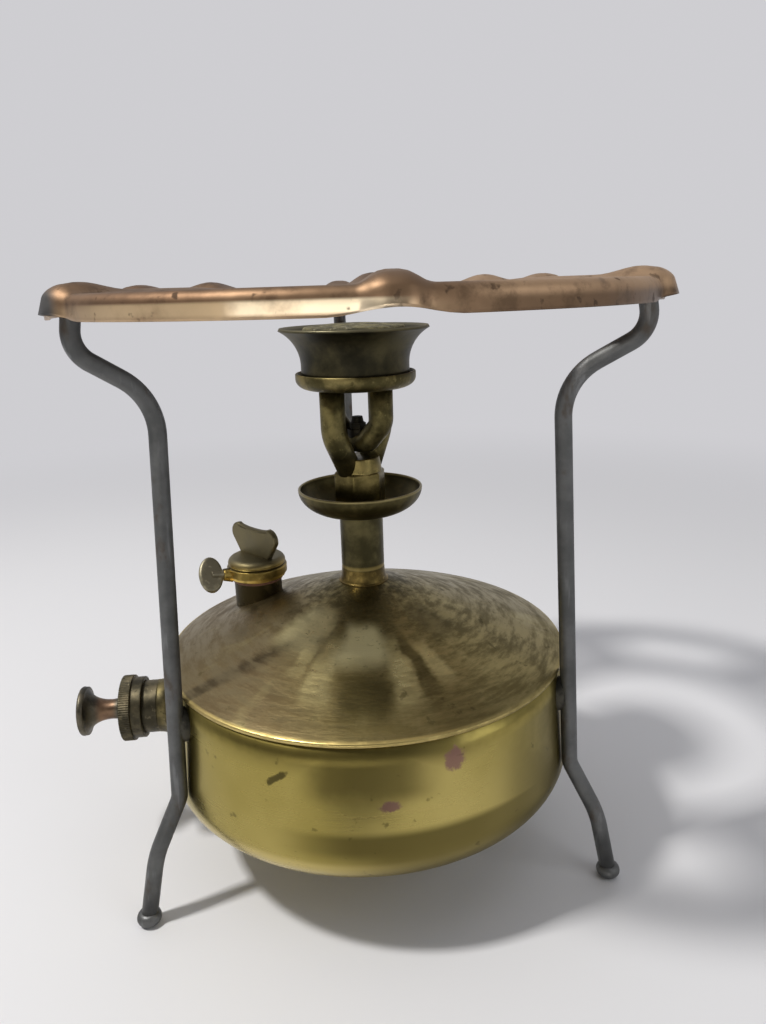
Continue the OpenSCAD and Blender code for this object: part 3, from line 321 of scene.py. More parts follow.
# Painted reflection: pale streaks fanned down the slope.
streak = paint.clouds(1.1, 4, 0.6, fanned(4, 0.03)).step(0.54, 0.74)
brown = paint.clouds(1, 6, 0.68, fanned(4.5, 0.3)).step(0.36, 0.64)
brushed = paint.clouds(1, 3, 0.6, fanned(2, 3))
broad = paint.clouds(16, 4, 0.6).step(0.36, 0.6)
speck = paint.clouds(210, 3, 0.55).step(0.64, 0.72)
wobble = 0.22 * (paint.clouds(70, 4, 0.6) - 0.5)
# Painted highlight along the rolled seam, weaker on the right.
rim = out.step(tank_r - 1, tank_r - 0.2) * (1 - 0.65 * x.step(0.005, 0.05))
# Painted shade round the riser, under the cup.
riser_shade = 1 - out.step(12, 25)
left_side = 1 - x.step(-0.045, -0.005)


def lobe(azimuth, half_angle, inner, outer):
    """A streak down the slope: 1 about an azimuth in degrees from the front, between two radii."""
    half = math.radians(half_angle)
    off = paint.maths("ABSOLUTE", angle - math.radians(azimuth) + wobble)
    return (1 - off.step(half * 0.5, half * 1.3)) * out.band(inner - 4, inner + 4, outer - 5, outer + 5)


# Painted reflections and a painted glint: pale lobes down the slope at the front.
pale = lobe(-21, 5.5, 34, 60).most(
    lobe(9, 5, 35, 63), lobe(24, 4, 40, 56), lobe(-32, 4, 40, 50), lobe(-31, 4, 28, 34),
    0.9 * lobe(-6, 11, 31, 46), 0.85 * lobe(-44, 15, 24, 40))
dark = lobe(-5, 9, 51, 67).most(0.7 * lobe(16.5, 3, 34, 58), 0.6 * lobe(42, 12, 22, 40))
film = (0.85 * lobe(-6, 13, 28, 45)).most(0.4 * lobe(-42, 15, 22, 42))
# shade: the darker lobes, the painted shade round the riser (deeper where browned) and the specks.
shade = (dark * 0.8).most(riser_shade * (0.45 + 0.5 * brown), speck * 0.55)
mauve = paint.mix((0.3, 0.23, 0.135), ((0.135, 0.092, 0.058), brown))
paint.feed(
    Base_Color=paint.mix(
        (0.33, 0.265, 0.11), ((0.15, 0.118, 0.044), brown), (mauve, left_side * (0.55 + 0.4 * broad)),
        ((0.19, 0.15, 0.058), broad * 0.5),
        ((0.62, 0.53, 0.25), (streak * 0.25).most(pale * 0.85) * (1 - 0.35 * brown)),
        ((0.66, 0.585, 0.31), film), ((0.06, 0.048, 0.016), shade * 0.9),
        ((0.6, 0.47, 0.18), rim * (1 - 0.5 * brown))),
    Metallic=1 - 0.85 * film,
    Roughness=0.32 + 0.20 * brown - 0.06 * pale + 0.10 * speck,
    Normal=paint.bump(paint.clouds(34, 3) + 0.06 * brown + 0.015 * brushed, 0.0011, 0.5))
fit("tank_top_brass", cone_brass, "tank_brass", "tank_top", spun(top_outline, 200))

# Riser. A thick brass tube screwed into the tank, with a slim turned collar sweated round its
# foot and a fuel pipe that hangs from it inside the tank. The heat has browned it; a bright ring
# is left just above the collar.

riser_r, riser_bore_r, collar_out, collar_h, collar_edge, collar_lip = 8.0, 5.2, 1.4, 5.0, 0.05, 0.5
riser_low_z, riser_top_z = (corner.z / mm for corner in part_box("riser_tube"))
dome_top_z = cone_z - riser_r * slope
collar_top_z = dome_top_z + collar_h
foot_r = riser_r + collar_out
foot_z = cone_z - foot_r * slope
collar_outline = np.r_[
    [[hole_r, dome_top_z], [foot_r, foot_z]],
    bow((foot_r, collar_top_z), collar_out - collar_edge, collar_top_z - foot_z - collar_lip, 270, 180, 14)]


def tube_wall(inner, outer, low, high, ease=0.3):
    """The (r, h) outline of a plain tube's wall, with eased corners."""
    return eased([[inner, low], [outer, low], [outer, high], [inner, high]], ease)


def heat_browned(name, dark, light, share=0.5, rough=0.38):
    """Old brass near the flame: clouds of two browns, rubbed flecks and a dull, slightly grained skin."""
    material, paint = finish_of(name)
    cloud = paint.clouds(95, 5, 0.6)
    fleck = paint.clouds(420, 3, 0.6).step(0.58, 0.72)
    pit = paint.clouds(330, 2, 0.5, paint.place((1, 1, 1.4))).step(0.66, 0.74)
    pale, sooty = np.minimum(1.0, 1.5 * np.array(light)), 0.4 * np.array(dark)
    paint.feed(
        Base_Color=paint.mix(
            dark, (light, cloud.step(0.62 - share * 0.4, 0.8 - share * 0.3)),
            (pale, fleck * 0.35), (sooty, pit * 0.6)),
        Metallic=0.95, Roughness=rough + 0.18 * cloud - 0.12 * fleck,
        Normal=paint.bump(paint.clouds(160, 3) + 0.3 * fleck, 0.0003, 0.4))
    return material


def coat(material, *nodes):
    """Gives a finish to solids that keep their CAD shape."""
    for node in nodes:
        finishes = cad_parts[node].data.materials
        finishes.clear()
        finishes.append(material)


bright_brass = heat_browned("bright brass", (0.3, 0.22, 0.07), (0.66, 0.52, 0.2), 0.9, 0.24)
collar_brass = heat_browned("collar brass", (0.085, 0.06, 0.018), (0.27, 0.19, 0.058), 0.6, 0.34)
riser_brass, paint = finish_of("riser brass")
height = paint.place().part(2) / mm - dome_top_z
cloud = paint.clouds(95, 5, 0.6)
ring_bright = height.band(4.8, 5.4, 5.8, 7) * 0.5
paint.feed(
    Base_Color=paint.mix(
        (0.052, 0.045, 0.02), ((0.135, 0.115, 0.052), cloud.step(0.38, 0.68)),
        ((0.6, 0.45, 0.15), ring_bright * (0.5 + 0.5 * cloud))),
    Metallic=0.95, Roughness=0.34 + 0.2 * cloud - 0.1 * ring_bright,
    Normal=paint.bump(paint.clouds(160, 3), 0.0003, 0.4))
fit("riser_collar_brass", collar_brass, "tank_brass", "riser_collar", spun(eased(collar_outline, 0.25), 96))
fit("riser_brass", riser_brass, "dark_brass", "riser_tube",
    spun(tube_wall(riser_bore_r, riser_r, riser_low_z, riser_top_z), 96))
coat(bright_brass, "pickup_tube")

# Legs. Three steel rods bent to one pattern: a hook under the pan ring, a swan-neck shoulder,
# a long run down the tank's wall and a kicked-out shin that ends in an upset foot. The steel is
# a dull grey, brown where it was handled, and each leg is held to the wall by a run of solder.

leg_r, leg_gap, knee_z, shoulder_z, toe_r, hook_round, facet = 2.8, 0.2, 44.0, 181.0, 95.5, 2.5, 0.04
leg_lean = math.radians(3)
knee_r = leg_gap + leg_r / math.cos(leg_lean) + wall_r(knee_z)
shoulder_r = knee_r - (shoulder_z - knee_z) * math.tan(leg_lean)
hook_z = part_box("leg_back")[1].z / mm - leg_r + facet
leg_points = np.array([[94.8, hook_z], [97.1, 196.1], [shoulder_r, shoulder_z], [knee_r, knee_z],
                       [90.5, 25.0], [toe_r, 2.5]])
leg_bends = np.array([9.4, 20.0, 7.0, 36.0])
ring_off = 1.6
leg_turns = {"left": -60, "right": 60, "back": 180}


def unit(vectors):
    """Vectors brought to length 1."""
    return vectors / np.linalg.norm(vectors, axis=-1, keepdims=True)


def bent_path(points, bends, steps=14):
    """Straight runs joined by arcs of the given bend radii: at each inner point the arc starts a cut
    R tan(turn / 2) before it and goes start + R (sin t along + (1 - cos t) inwards)."""
    along = unit(np.diff(points, axis=0))
    a, b = along[:-1], along[1:]
    dot = (a * b).sum(1, keepdims=True)
    turn = np.arccos(np.clip(dot, -1, 1))
    inward = unit(b - a * dot)
    r = np.array(bends)[:, None]
    start = points[1:-1] - a * r * np.tan(turn / 2)
    t = turn[:, :, None] * np.linspace(0, 1, steps)[None, :, None]
    arcs = start[:, None] + r[:, :, None] * (np.sin(t) * a[:, None] + (1 - np.cos(t)) * inward[:, None])
    return np.r_[points[:1], arcs.reshape(-1, points.shape[1]), points[-1:]]


def azimuth_plane(points, turn):
    """(r, z) points set in the upright plane at an azimuth; 0 is the front and it grows towards +X.
    Also the direction square to that plane."""
    a = math.radians(turn)
    out, across = np.array([math.sin(a), -math.cos(a), 0.0]), np.array([math.cos(a), math.sin(a), 0.0])
    return np.array([axis_x, 0.0, 0.0]) + points[:, :1] * out + points[:, 1:] * np.array([0, 0, 1]), across


def rod(path, across, radius, round_start=0.0, sides=28, rings=7):
    """A round section carried along a path in the plane square to across. Its start is rounded by rings
    whose radius follows a quarter circle to a point, and its end is flat and closes in its middle."""
    along = unit(np.gradient(path, axis=0))
    q = np.linspace(0, np.pi / 2, rings)
    first = path[0] - round_start * np.cos(q)[:, None] * along[0]
    centres = np.r_[first, path, np.repeat(path[-1:], rings, 0)]
    heading = np.r_[np.repeat(along[:1], rings, 0), along, np.repeat(along[-1:], rings, 0)]
    size = np.r_[np.sin(q), np.ones(len(path)), np.cos(q)][:, None, None] * radius
    normal = np.cross(heading, across)
    a = np.linspace(0, 2 * np.pi, sides + 1)[None, :, None]
    return centres[:, None] + size * (np.cos(a) * normal[:, None] + np.sin(a) * across)


leg_steel, paint = finish_of("dull dark steel")
cloud = paint.clouds(70, 5, 0.6)
rust = paint.clouds(120, 4, 0.6, paint.place((1, 1, 0.5), (0.2, 0.1, 0.3))).step(0.56, 0.72)
scrape = paint.clouds(300, 3, 0.6, paint.place((1, 1, 0.12))).step(0.58, 0.72)
paint.feed(
    Base_Color=paint.mix(
        (0.098, 0.1, 0.098), ((0.16, 0.162, 0.16), cloud.step(0.32, 0.66)),
        ((0.095, 0.065, 0.042), rust * 0.6), ((0.26, 0.265, 0.27), scrape * 0.35)),
    Metallic=0.85, Roughness=0.46 + 0.16 * cloud + 0.12 * rust - 0.14 * scrape,
    Normal=paint.bump(paint.clouds(240, 3) + 0.4 * paint.clouds(60, 2), 0.0004, 0.45))
sole_r, foot_in_r, foot_round = 2.6, 1.7, 2.5
foot_side = bow((foot_in_r, foot_round), foot_round, foot_round, -62, 62, 12)
foot_outline = np.r_[[[0, 0], [sole_r, 0]], foot_side, [[0, 2 * foot_round]]]
for side, turn in leg_turns.items():
    hooked = leg_points + np.outer([1, 1, 0, 0, 0, 0], [ring_off * math.sin(math.radians(turn)), 0])
    path, across = azimuth_plane(bent_path(hooked, leg_bends), turn)
    toe = azimuth_plane(np.array([[toe_r, 0.0]]), turn)[0][0]
    fit("leg_rod_" + side, leg_steel, "steel", "leg_" + side,
        rod(path, across, leg_r, hook_round), spun(foot_outline, 32, toe))

solder_w, solder_h = 4.0, 6.5
solder_z = seam_z - 2 * bead_r - solder_h
# The runs are solder, and their near-black colour is also painted shade where the legs meet the wall.
solder_grey, paint = finish_of("old solder")
cloud = paint.clouds(260, 4, 0.6)
paint.feed(
    Base_Color=paint.mix((0.022, 0.021, 0.017), ((0.075, 0.07, 0.054), cloud.step(0.35, 0.65))),
    Metallic=0.8, Roughness=0.42 + 0.2 * cloud, Normal=paint.bump(cloud, 0.0006, 0.6))
solder_spot = np.array([[wall_r(solder_z), solder_z]])
drop_outline = bow((0, 0), solder_w, solder_h, -90, 90, 24)
drops = [spun(drop_outline, 40, azimuth_plane(solder_spot, turn)[0][0]) for turn in leg_turns.values()]
fit("leg_solder_runs", solder_grey, "solder", "leg_solder", *drops)

# Spirit cup. A shallow bowl spun from thin brass, pinned between riser and burner, that holds
# the spirit for pre-heating. It is browned and sooty inside, with a rubbed rim.

cup_r, cup_depth, cup_sheet, cup_rim_h = 22.8, 9.7, 0.9, 0.35
cup_rim_z = riser_top_z + cup_depth
cup_outline = np.r_[
    [[riser_bore_r, riser_top_z]],
    bow((riser_r, cup_rim_z), cup_r - riser_r, cup_depth, 270, 357, 30),
    bow((cup_r - cup_sheet / 2, cup_rim_z), cup_sheet / 2, cup_rim_h, 0, 180, 9),
    bow((riser_r, cup_rim_z), cup_r - riser_r - cup_sheet, cup_depth - cup_sheet, 357, 270, 30),
    [[riser_bore_r, riser_top_z + cup_sheet]]]

cup_brass, paint = finish_of("cup brass")
cloud = paint.clouds(80, 5, 0.6)
rim = (paint.place().part(2) / mm).step(cup_rim_z - 0.7, cup_rim_z - 0.1)
paint.feed(
    Base_Color=paint.mix(
        (0.048, 0.04, 0.016), ((0.15, 0.124, 0.05), cloud.step(0.4, 0.7)),
        ((0.34, 0.28, 0.13), rim * 0.6)),
    Metallic=0.95, Roughness=0.36 + 0.2 * cloud - 0.1 * rim,
    Normal=paint.bump(paint.clouds(140, 3), 0.0004, 0.4))
fit("spirit_cup_brass", cup_brass, "dark_brass", "spirit_cup", spun(cup_outline, 128))

# Burner base. A turned brass hexagon with a coned shoulder, screwed down on a soft washer. The
# flats are rubbed bright by the spanner.

washer_t, hex_af, hex_h, hex_turn, hex_chamfer, cone_h, cone_top_r = 1.2, 17.0, 13.9, -78.0, 0.5, 5.2, 7.4
hex_z = riser_top_z + cup_sheet + washer_t
hex_top_z = hex_z + hex_h
tubes_z = hex_top_z + cone_h


def hexagon(af, ease, bottom, top, turn, chamfer, turns=181):
    """Hexagonal prism: radius af/2 / cos of the angle from the nearest flat, eased at its edges by a
    smooth minimum with the corner circle, and chamfered at both ends."""
    a = np.linspace(0, 2 * np.pi, turns)
    off = np.mod(a - math.radians(turn) + np.pi / 6, np.pi / 3) - np.pi / 6
    flat = af / 2 / np.cos(off)
    corner = af / 2 / math.cos(math.pi / 6) - ease
    r = -ease * np.log(np.exp(-flat / ease) + np.exp(-corner / ease) * 0.5)
    up = np.array([0.0, 0.0, chamfer, chamfer + 0.2])
    cut = np.array([1.0, chamfer, 0.05, 0.0])
    z, cut = np.r_[bottom + up, top - up[::-1]], np.r_[cut, cut[::-1]][:, None]
    rows = np.where(cut == 1.0, 0.0, r - cut)
    return np.stack([axis_x + rows * np.cos(a), rows * np.sin(a), np.repeat(z[:, None], turns, 1)], -1)


off_axis = slice(3, -3)  # trims the eased corners at an outline's two ends on the axis
hex_brass = heat_browned("hexagon brass", (0.095, 0.076, 0.026), (0.26, 0.205, 0.075), 0.55, 0.28)
cone_foot_r, cone_foot_z = hex_af / 2 - 0.2, hex_top_z - hex_chamfer
shoulder = [[0, cone_foot_z], [cone_foot_r, cone_foot_z], [cone_foot_r, hex_top_z],
            [cone_top_r, tubes_z], [0, tubes_z]]
fit("burner_base_brass", hex_brass, "bright_brass", "burner_base",
    hexagon(hex_af, 0.35, hex_z, hex_top_z, hex_turn, hex_chamfer), spun(eased(shoulder, 0.4)[off_axis], 64))
coat(solder_grey, "burner_washer")

# Burner tubes. Two rising tubes splay out of the base to the head, and square to them a bent
# tube brings the hot vapour down to the jet's boss and up again. All are brazed brass, browned
# by the flame.

tube_turn, up_r, vapour_r, tube_circle_r = -49.0, 4.4, 4.1, 12.0
up_foot_r, up_foot_depth, up_knee_h, crossing_h, crossing_half, elbow_h = 5.0, 4.2, 9.2, 5.6, 4.2, 7.4
tube_in = 0.8
head_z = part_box("burner_head")[0].z / mm
crossing_z, tube_end_z = tubes_z + crossing_h, head_z + tube_in
up_points = np.array([[up_foot_r, tubes_z - up_foot_depth], [tube_circle_r, tubes_z + up_knee_h],
                      [tube_circle_r, tube_end_z]])
half_vapour = np.array([[crossing_half, crossing_z], [tube_circle_r, crossing_z + elbow_h],
                        [tube_circle_r, tube_end_z]])
vapour_points = np.r_[half_vapour[::-1] * [-1, 1], half_vapour]
tube_brass = heat_browned("tube brass", (0.064, 0.054, 0.021), (0.19, 0.157, 0.062), 0.55)
up_pair = [rod(*azimuth_plane(bent_path(up_points, [14.0]), tube_turn + half), up_r) for half in (0, 180)]
fit("rising_tubes", tube_brass, "dark_brass", "up_tubes", *up_pair)
vapour_path = bent_path(vapour_points, [6.0, 5.0, 5.0, 6.0])
fit("falling_tube", tube_brass, "dark_brass", "vapour_tube",
    rod(*azimuth_plane(vapour_path, tube_turn + 90), vapour_r))

# Jet. A small boss brazed on the vapour tube carries the screwed nipple, whose pin-hole throws
# the vapour up through the head. Both are black with soot.

soot_brass = heat_browned("sooted brass", (0.022, 0.02, 0.015), (0.075, 0.062, 0.036), 0.45, 0.5)
coat(soot_brass, "jet_boss", "jet_nipple")

# Burner head. A hollow brass casting that feeds both pairs of tubes; its upstanding lip holds
# the bell, and its underside is rounded.

head_r, head_foot_r, head_t, lip_h, lip_w, gas_hole_r = 21.3, 16.6, 3.6, 1.9, 1.0, 6.2
floor_z = head_z + head_t
lip_z, lip_r = floor_z + lip_h, head_r - lip_w
head_outline = np.r_[
    [[gas_hole_r, head_z]],
    bow((head_foot_r, floor_z), head_r - head_foot_r, head_t, -90, 0, 18),
    [[head_r, lip_z - 0.3], [head_r - 0.25, lip_z], [lip_r + 0.2, lip_z], [lip_r, lip_z - 0.2],
     [lip_r, floor_z], [gas_hole_r, floor_z]]]
head_brass = heat_browned("head brass", (0.075, 0.063, 0.024), (0.23, 0.185, 0.075), 0.55)
fit("burner_head_brass", head_brass, "dark_brass", "burner_head", spun(head_outline, 128))

# Bell and flame plate. The bell is a flared brass pressing, burnt nearly black, with a painted highlight
# round its lip; in its mouth the loose flame plate stands on three pins, crusted with grey-green scale.

bell_hole_r, bell_r, bell_rim_r, bell_h, flare_h, bell_sheet = 16.1, 19.1, 26.4, 16.6, 12.0, 1.0
bell_band_h = 2.5
bell_top_z, band_z = floor_z + bell_h, floor_z + bell_band_h
flare_out = bell_rim_r - bell_r
flare_r = (flare_h ** 2 + flare_out ** 2) / (2 * flare_out)
flare, flare_end = (bell_r + flare_r, bell_top_z - flare_h), 180 - math.degrees(math.asin(flare_h / flare_r))
bell_in_r, bell_floor_z = bell_r - bell_sheet, floor_z + bell_sheet
bell_outline = np.r_[
    [[bell_hole_r, floor_z], [bell_r, floor_z], [bell_r, band_z]],
    bow(flare, flare_r, flare_r, 180, flare_end, 30),
    bow(flare, flare_r + bell_sheet, flare_r + bell_sheet, flare_end, 180, 30),
    [[bell_in_r, band_z], [bell_in_r, bell_floor_z], [bell_hole_r, bell_floor_z]]]
bell_black, paint = finish_of("burnt bell brass")
cloud = paint.clouds(60, 5, 0.6)
spun_lines = paint.clouds(1, 3, 0.6, paint.place((20, 20, 1400)))
# lip: a painted highlight round the bell's mouth.
lip = (paint.place().part(2) / mm).step(bell_top_z - 0.2, bell_top_z + 0.5)
paint.feed(
    Base_Color=paint.mix(
        (0.02, 0.018, 0.01), ((0.082, 0.07, 0.034), cloud.step(0.34, 0.68)),
        ((0.2, 0.18, 0.11), lip * 0.6)),
    Metallic=0.9, Roughness=0.34 + 0.16 * cloud + 0.06 * spun_lines,
    Normal=paint.bump(paint.clouds(90, 3) + 0.1 * spun_lines, 0.0004, 0.35))
fit("burner_bell_brass", bell_black, "sooted_brass", "burner_bell", spun(bell_outline, 128))

plate_r, plate_t, plate_dome, plate_edge, plate_sunk = 17.9, 2.5, 1.2, 0.6, 1.6
pin_r, pin_circle_r, pin_in, pin_gap = 1.2, 13.0, 1.6, 0.1
plate_z = bell_top_z - plate_sunk
plate_bulge = (plate_r ** 2 + plate_dome ** 2) / (2 * plate_dome)
r = np.linspace(0, plate_r - plate_edge, 16)
rise = np.sqrt(plate_bulge ** 2 - r ** 2) - plate_bulge + plate_dome
plate_outline = np.r_[
    np.c_[r, plate_z + plate_t + rise],
    bow((plate_r - plate_edge, plate_z + plate_t / 2), plate_edge, plate_t / 2, 80, -80, 8),
    np.c_[r, plate_z + rise][::-1]]
pin_outline = tube_wall(0.0, pin_r, floor_z + pin_gap, plate_z + pin_in)[off_axis]
pins = [spun(pin_outline, 20, (axis_x + pin_circle_r * math.cos(a), pin_circle_r * math.sin(a), 0.0))
        for a in np.radians([0, 120, 240])]
scale_crust, paint = finish_of("burnt scale")
cloud = paint.clouds(210, 6, 0.65)
crust = paint.clouds(480, 4, 0.6).step(0.5, 0.66)
paint.feed(
    Base_Color=paint.mix(
        (0.045, 0.04, 0.02), ((0.2, 0.175, 0.085), cloud.step(0.36, 0.66)),
        ((0.33, 0.3, 0.2), crust * 0.5)),
    Metallic=0.35, Roughness=0.62 + 0.2 * cloud, Normal=paint.bump(cloud + 0.5 * crust, 0.0009, 0.8))
fit("flame_plate_disc", scale_crust, "sooted_brass", "flame_plate", spun(plate_outline, 96), *pins,
    body="flame_plate")

# Pan ring. Sheet copper pressed in one blow: a flat ring with six kidney openings, six ribs with one
# or two crests, and a turned-down skirt with a nose at each rib and an arch under it. It lies loose on
# the hooks, a little off the middle, and heat has browned it. The skirt carries painted reflections,
# near-white at the front and golden to the left, the bend a painted reflection on the right, and the
# low right of the skirt painted shade.

ring_r, ring_z, ring_hole_r, ring_sheet, skirt_h, skirt_bend_r = 100.0, 211.4, 47.0, 1.0, 7.0, 3.2
kidney_in_r, kidney_out_r, kidney_half, kidney_power = 62.0, 83.0, 20.0, 4.0
rib_h, rib_saddle_h, rib_half_w, rib_full = 3.2, 1.0, 9.0, 1.5
rib_inner_r, rib_outer_r, rib_crest_half = 59.5, 93.0, 13.0
rib_nose, nose_share, arch_h, arch_half_w, ring_turn = 3.99, 0.6, 2.0, 16.0, 0.8
half_sector, ring_edge_r = 30.0, ring_r - skirt_bend_r


def hump(x, half, full=1.0):
    """cos^2 of 90 degrees times (|x| / half)^full, and 0 beyond half."""
    return np.cos(np.pi / 2 * np.minimum(1, np.abs(x) / half) ** full) ** 2


def rib_across(r, az):
    return r * np.sin(np.radians(half_sector - np.abs(az)))


def ring_rise(r, az, inner):
    """Height of the pressing over the flat: an outer crest, an inner one where inner is 1, and a low back
    along a rib, times its rounded section."""
    along = rib_saddle_h * np.clip((r - ring_hole_r) / (rib_inner_r - ring_hole_r), 0, 1)
    along = along + (rib_h - rib_saddle_h) * np.maximum(inner * hump(r - rib_inner_r, rib_crest_half),
                                                        hump(r - rib_outer_r, rib_crest_half))
    return along * hump(rib_across(r, az), rib_half_w, rib_full)


def ring_sector(sector):
    """Grids of one sixth of the ring: rows blend from a walk round the kidney opening to one round the
    border, the skirt hangs from its outer arc, and strips close the edges. The ribs over the legs, every
    other one, have no inner crest."""
    arc, side, rows = 56, 20, 14
    share = rib_half_w / ring_edge_r * 180 / np.pi / half_sector
    k = np.linspace(-1, 1, arc, endpoint=False)
    x = np.abs(k)
    place = -np.sign(k) * np.where(x >= 0.5, 1 - share * 2 * (1 - x), (1 - share) * 2 * x)
    down = np.linspace(1, -1, side, endpoint=False)
    half_border = np.r_[np.c_[place, np.ones(arc)], np.c_[-np.ones(side), down]]
    half_walk = np.r_[np.linspace(45, 135, arc, endpoint=False), np.linspace(135, 225, side, endpoint=False)]
    border = np.r_[half_border, -half_border, half_border[:1]]
    walk = np.radians(np.r_[half_walk, half_walk + 180, half_walk[:1]])
    corner = lambda v: np.sign(v) * np.abs(v) ** (2 / kidney_power)
    between = lambda low, high, share: (high + low) / 2 + (high - low) / 2 * share
    kidney = np.c_[between(kidney_in_r, kidney_out_r, corner(np.sin(walk))),
                   kidney_half * corner(np.cos(walk))]
    edge = np.c_[between(ring_hole_r, ring_edge_r, border[:, 1]), half_sector * border[:, 0]]
    blend = np.linspace(0, 1, rows)[:, None, None]
    place_ra = kidney * (1 - blend) + edge * blend

    def points(r, az, z):
        a = np.radians(half_sector * (1 + 2 * sector) + ring_turn + az)
        return np.stack([axis_x + ring_off + r * np.sin(a), -r * np.cos(a), z + 0 * r], -1)

    def sheet_face(depth):
        r, az = place_ra[..., 0], place_ra[..., 1]
        inner = (az < 0) == (sector % 2 == 0)
        return points(r, az, ring_z + ring_rise(r, az, inner) - depth)

    def skirt_face(depth):
        az = half_sector * np.append(place, -1.0)
        across = rib_across(ring_edge_r, az)
        bend = skirt_bend_r - depth
        q = np.linspace(0, 1, 9)[:, None]
        t = q * np.pi / 2
        out = rib_nose * hump(across, rib_half_w, rib_full)
        top_z = ring_z + ring_rise(ring_edge_r + 0 * az, az, 0) - skirt_bend_r
        low_z = ring_z - skirt_h + arch_h * hump(across, arch_half_w)
        bend_r = ring_edge_r + (bend + out * nose_share * q) * np.sin(t)
        fall = np.linspace(0, 1, 6)[1:, None]
        r = np.r_[bend_r, bend_r[-1] + out * (1 - nose_share) * fall]
        z = np.r_[top_z + bend * np.cos(t), top_z + (low_z - top_z) * fall]
        return points(r, np.broadcast_to(az, r.shape), z)

    upper, lower = sheet_face(0.0), sheet_face(ring_sheet)
    outer, inner = skirt_face(0.0), skirt_face(ring_sheet)
    hole = slice(arc + side, arc + side + arc + 1)
    strips = [np.stack([upper[0], lower[0]]), np.stack([upper[-1, hole], lower[-1, hole]]),
              np.stack([outer[-1], inner[-1]])]
    return [upper, lower, outer, inner, *strips]


ring_copper, paint = finish_of("heat-coloured copper")
height = paint.place().part(2) / mm - ring_z
side = paint.place().part(0) / mm - axis_x
nose_spot = ((axis_x + ring_off - 90.3) * mm, -53.8 * mm, 207.0 * mm)
grey = 1 - (paint.place(centre=nose_spot).length() / mm).step(5, 9)
cloud = paint.clouds(48, 5, 0.6)
tint = paint.clouds(20, 3).step(0.36, 0.64)
spots = paint.clouds(230, 3, 0.5).step(0.62, 0.7)
grime = paint.clouds(120, 5, 0.68).step(0.48, 0.68)
dirty = (cloud.step(0.46, 0.72) * 0.8).most(grime * 0.75)
bent = height.step(-4.5, -1.5)
lip = 1 - height.step(-6.5, -5.5)
skirt = 1 - height.step(-3.4, -2.5)
# Painted reflection: the lower skirt paler, fading out to the right.
skirt_reflection = (1 - height.step(-5, -2.4)) * cloud.step(0.28, 0.52)
# Painted reflection: a near-white patch on the skirt just left of the front.
wear_and_sheen = skirt * (1 - 0.9 * lip) * side.band(-37, -31, -4, 8)
# Painted sheen: the skirt golden further to the left.
golden_sheen = skirt * (1 - 0.5 * lip) * side.band(-82, -62, -37, -31)
shaded_side = side.step(6, 34) * (1 - height.step(-4, -1.8))
paint.feed(
    Base_Color=paint.mix(
        (0.25, 0.147, 0.086), ((0.37, 0.243, 0.144), tint), ((0.105, 0.064, 0.039), dirty),
        ((0.125, 0.077, 0.046), bent * (0.55 - 0.45 * side.step(10, 40))),
        ((0.56, 0.4, 0.24), skirt_reflection * (0.5 - 0.45 * side.step(0, 30))),
        ((0.1, 0.066, 0.04), shaded_side * 0.6),
        ((0.7, 0.52, 0.31), golden_sheen * (0.35 + 0.5 * cloud.step(0.3, 0.52))),
        # painted reflection on the bend at the right
        ((0.6, 0.41, 0.25), bent * side.step(10, 34) * (1 - 0.6 * dirty) * 0.6),
        ((0.98, 0.82, 0.58), wear_and_sheen * (0.25 + 0.7 * cloud.step(0.3, 0.52))),
        ((0.055, 0.038, 0.028), spots * 0.6), ((0.1, 0.097, 0.094), grey)),
    Metallic=1, Roughness=0.32 + 0.18 * cloud - 0.08 * skirt_reflection + 0.12 * bent + 0.2 * spots + 0.15 * grey,
    Normal=paint.bump(paint.clouds(70, 3) + 0.3 * cloud, 0.0009, 0.5))
sectors = [grid for sector in range(6) for grid in ring_sector(sector)]
fit("pan_ring_pressing", ring_copper, "copper_brass", "pan_ring", *sectors, body="pan_ring")

# Pump barrel. A drawn brass tube let into the tank's wall, with a flared socket sweated round it
# where it comes out. Inside it ends in the check valve.

pump_z = (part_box("pump_tube")[0].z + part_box("pump_tube")[1].z) / 2 / mm
pump_line = dict(origin=(axis_x, 0.0, pump_z), out=(0, 1, 0), side=(0, 0, 1), up=(-1, 0, 0))
barrel_bore_r, barrel_r, barrel_start, barrel_end, pump_gap = 8.5, 9.9, 14.0, 91.4, 0.05
socket_h, socket_out, socket_in, sleeve_r = 5.0, 3.4, 1.0, barrel_r + pump_gap
socket_start = wall_r(pump_z) - socket_in
socket_end = socket_start + socket_in + socket_h
socket_outline = np.r_[
    [[sleeve_r, socket_start], [barrel_r + socket_out, socket_start]],
    bow((sleeve_r + socket_out, socket_end), socket_out, socket_h, 270, 180, 14),
    [[sleeve_r, socket_end]]]
socket_brass = heat_browned("socket brass", (0.062, 0.052, 0.026), (0.17, 0.138, 0.062), 0.5, 0.4)
fit("pump_socket_brass", socket_brass, "tank_brass", "pump_socket", spun(socket_outline, 96, **pump_line))
barrel_outline = tube_wall(barrel_bore_r, barrel_r, barrel_start, barrel_end)
dull_brass = heat_browned("dull pump brass", (0.052, 0.046, 0.03), (0.155, 0.13, 0.08), 0.5, 0.4)
fit("pump_barrel", dull_brass, "dark_brass", "pump_tube", spun(barrel_outline, 96, **pump_line))

# Pump cap. A turned cap screwed over the barrel's end, its flange cut with a fine straight knurl
# for the fingers. It is as dark and dull as the barrel.

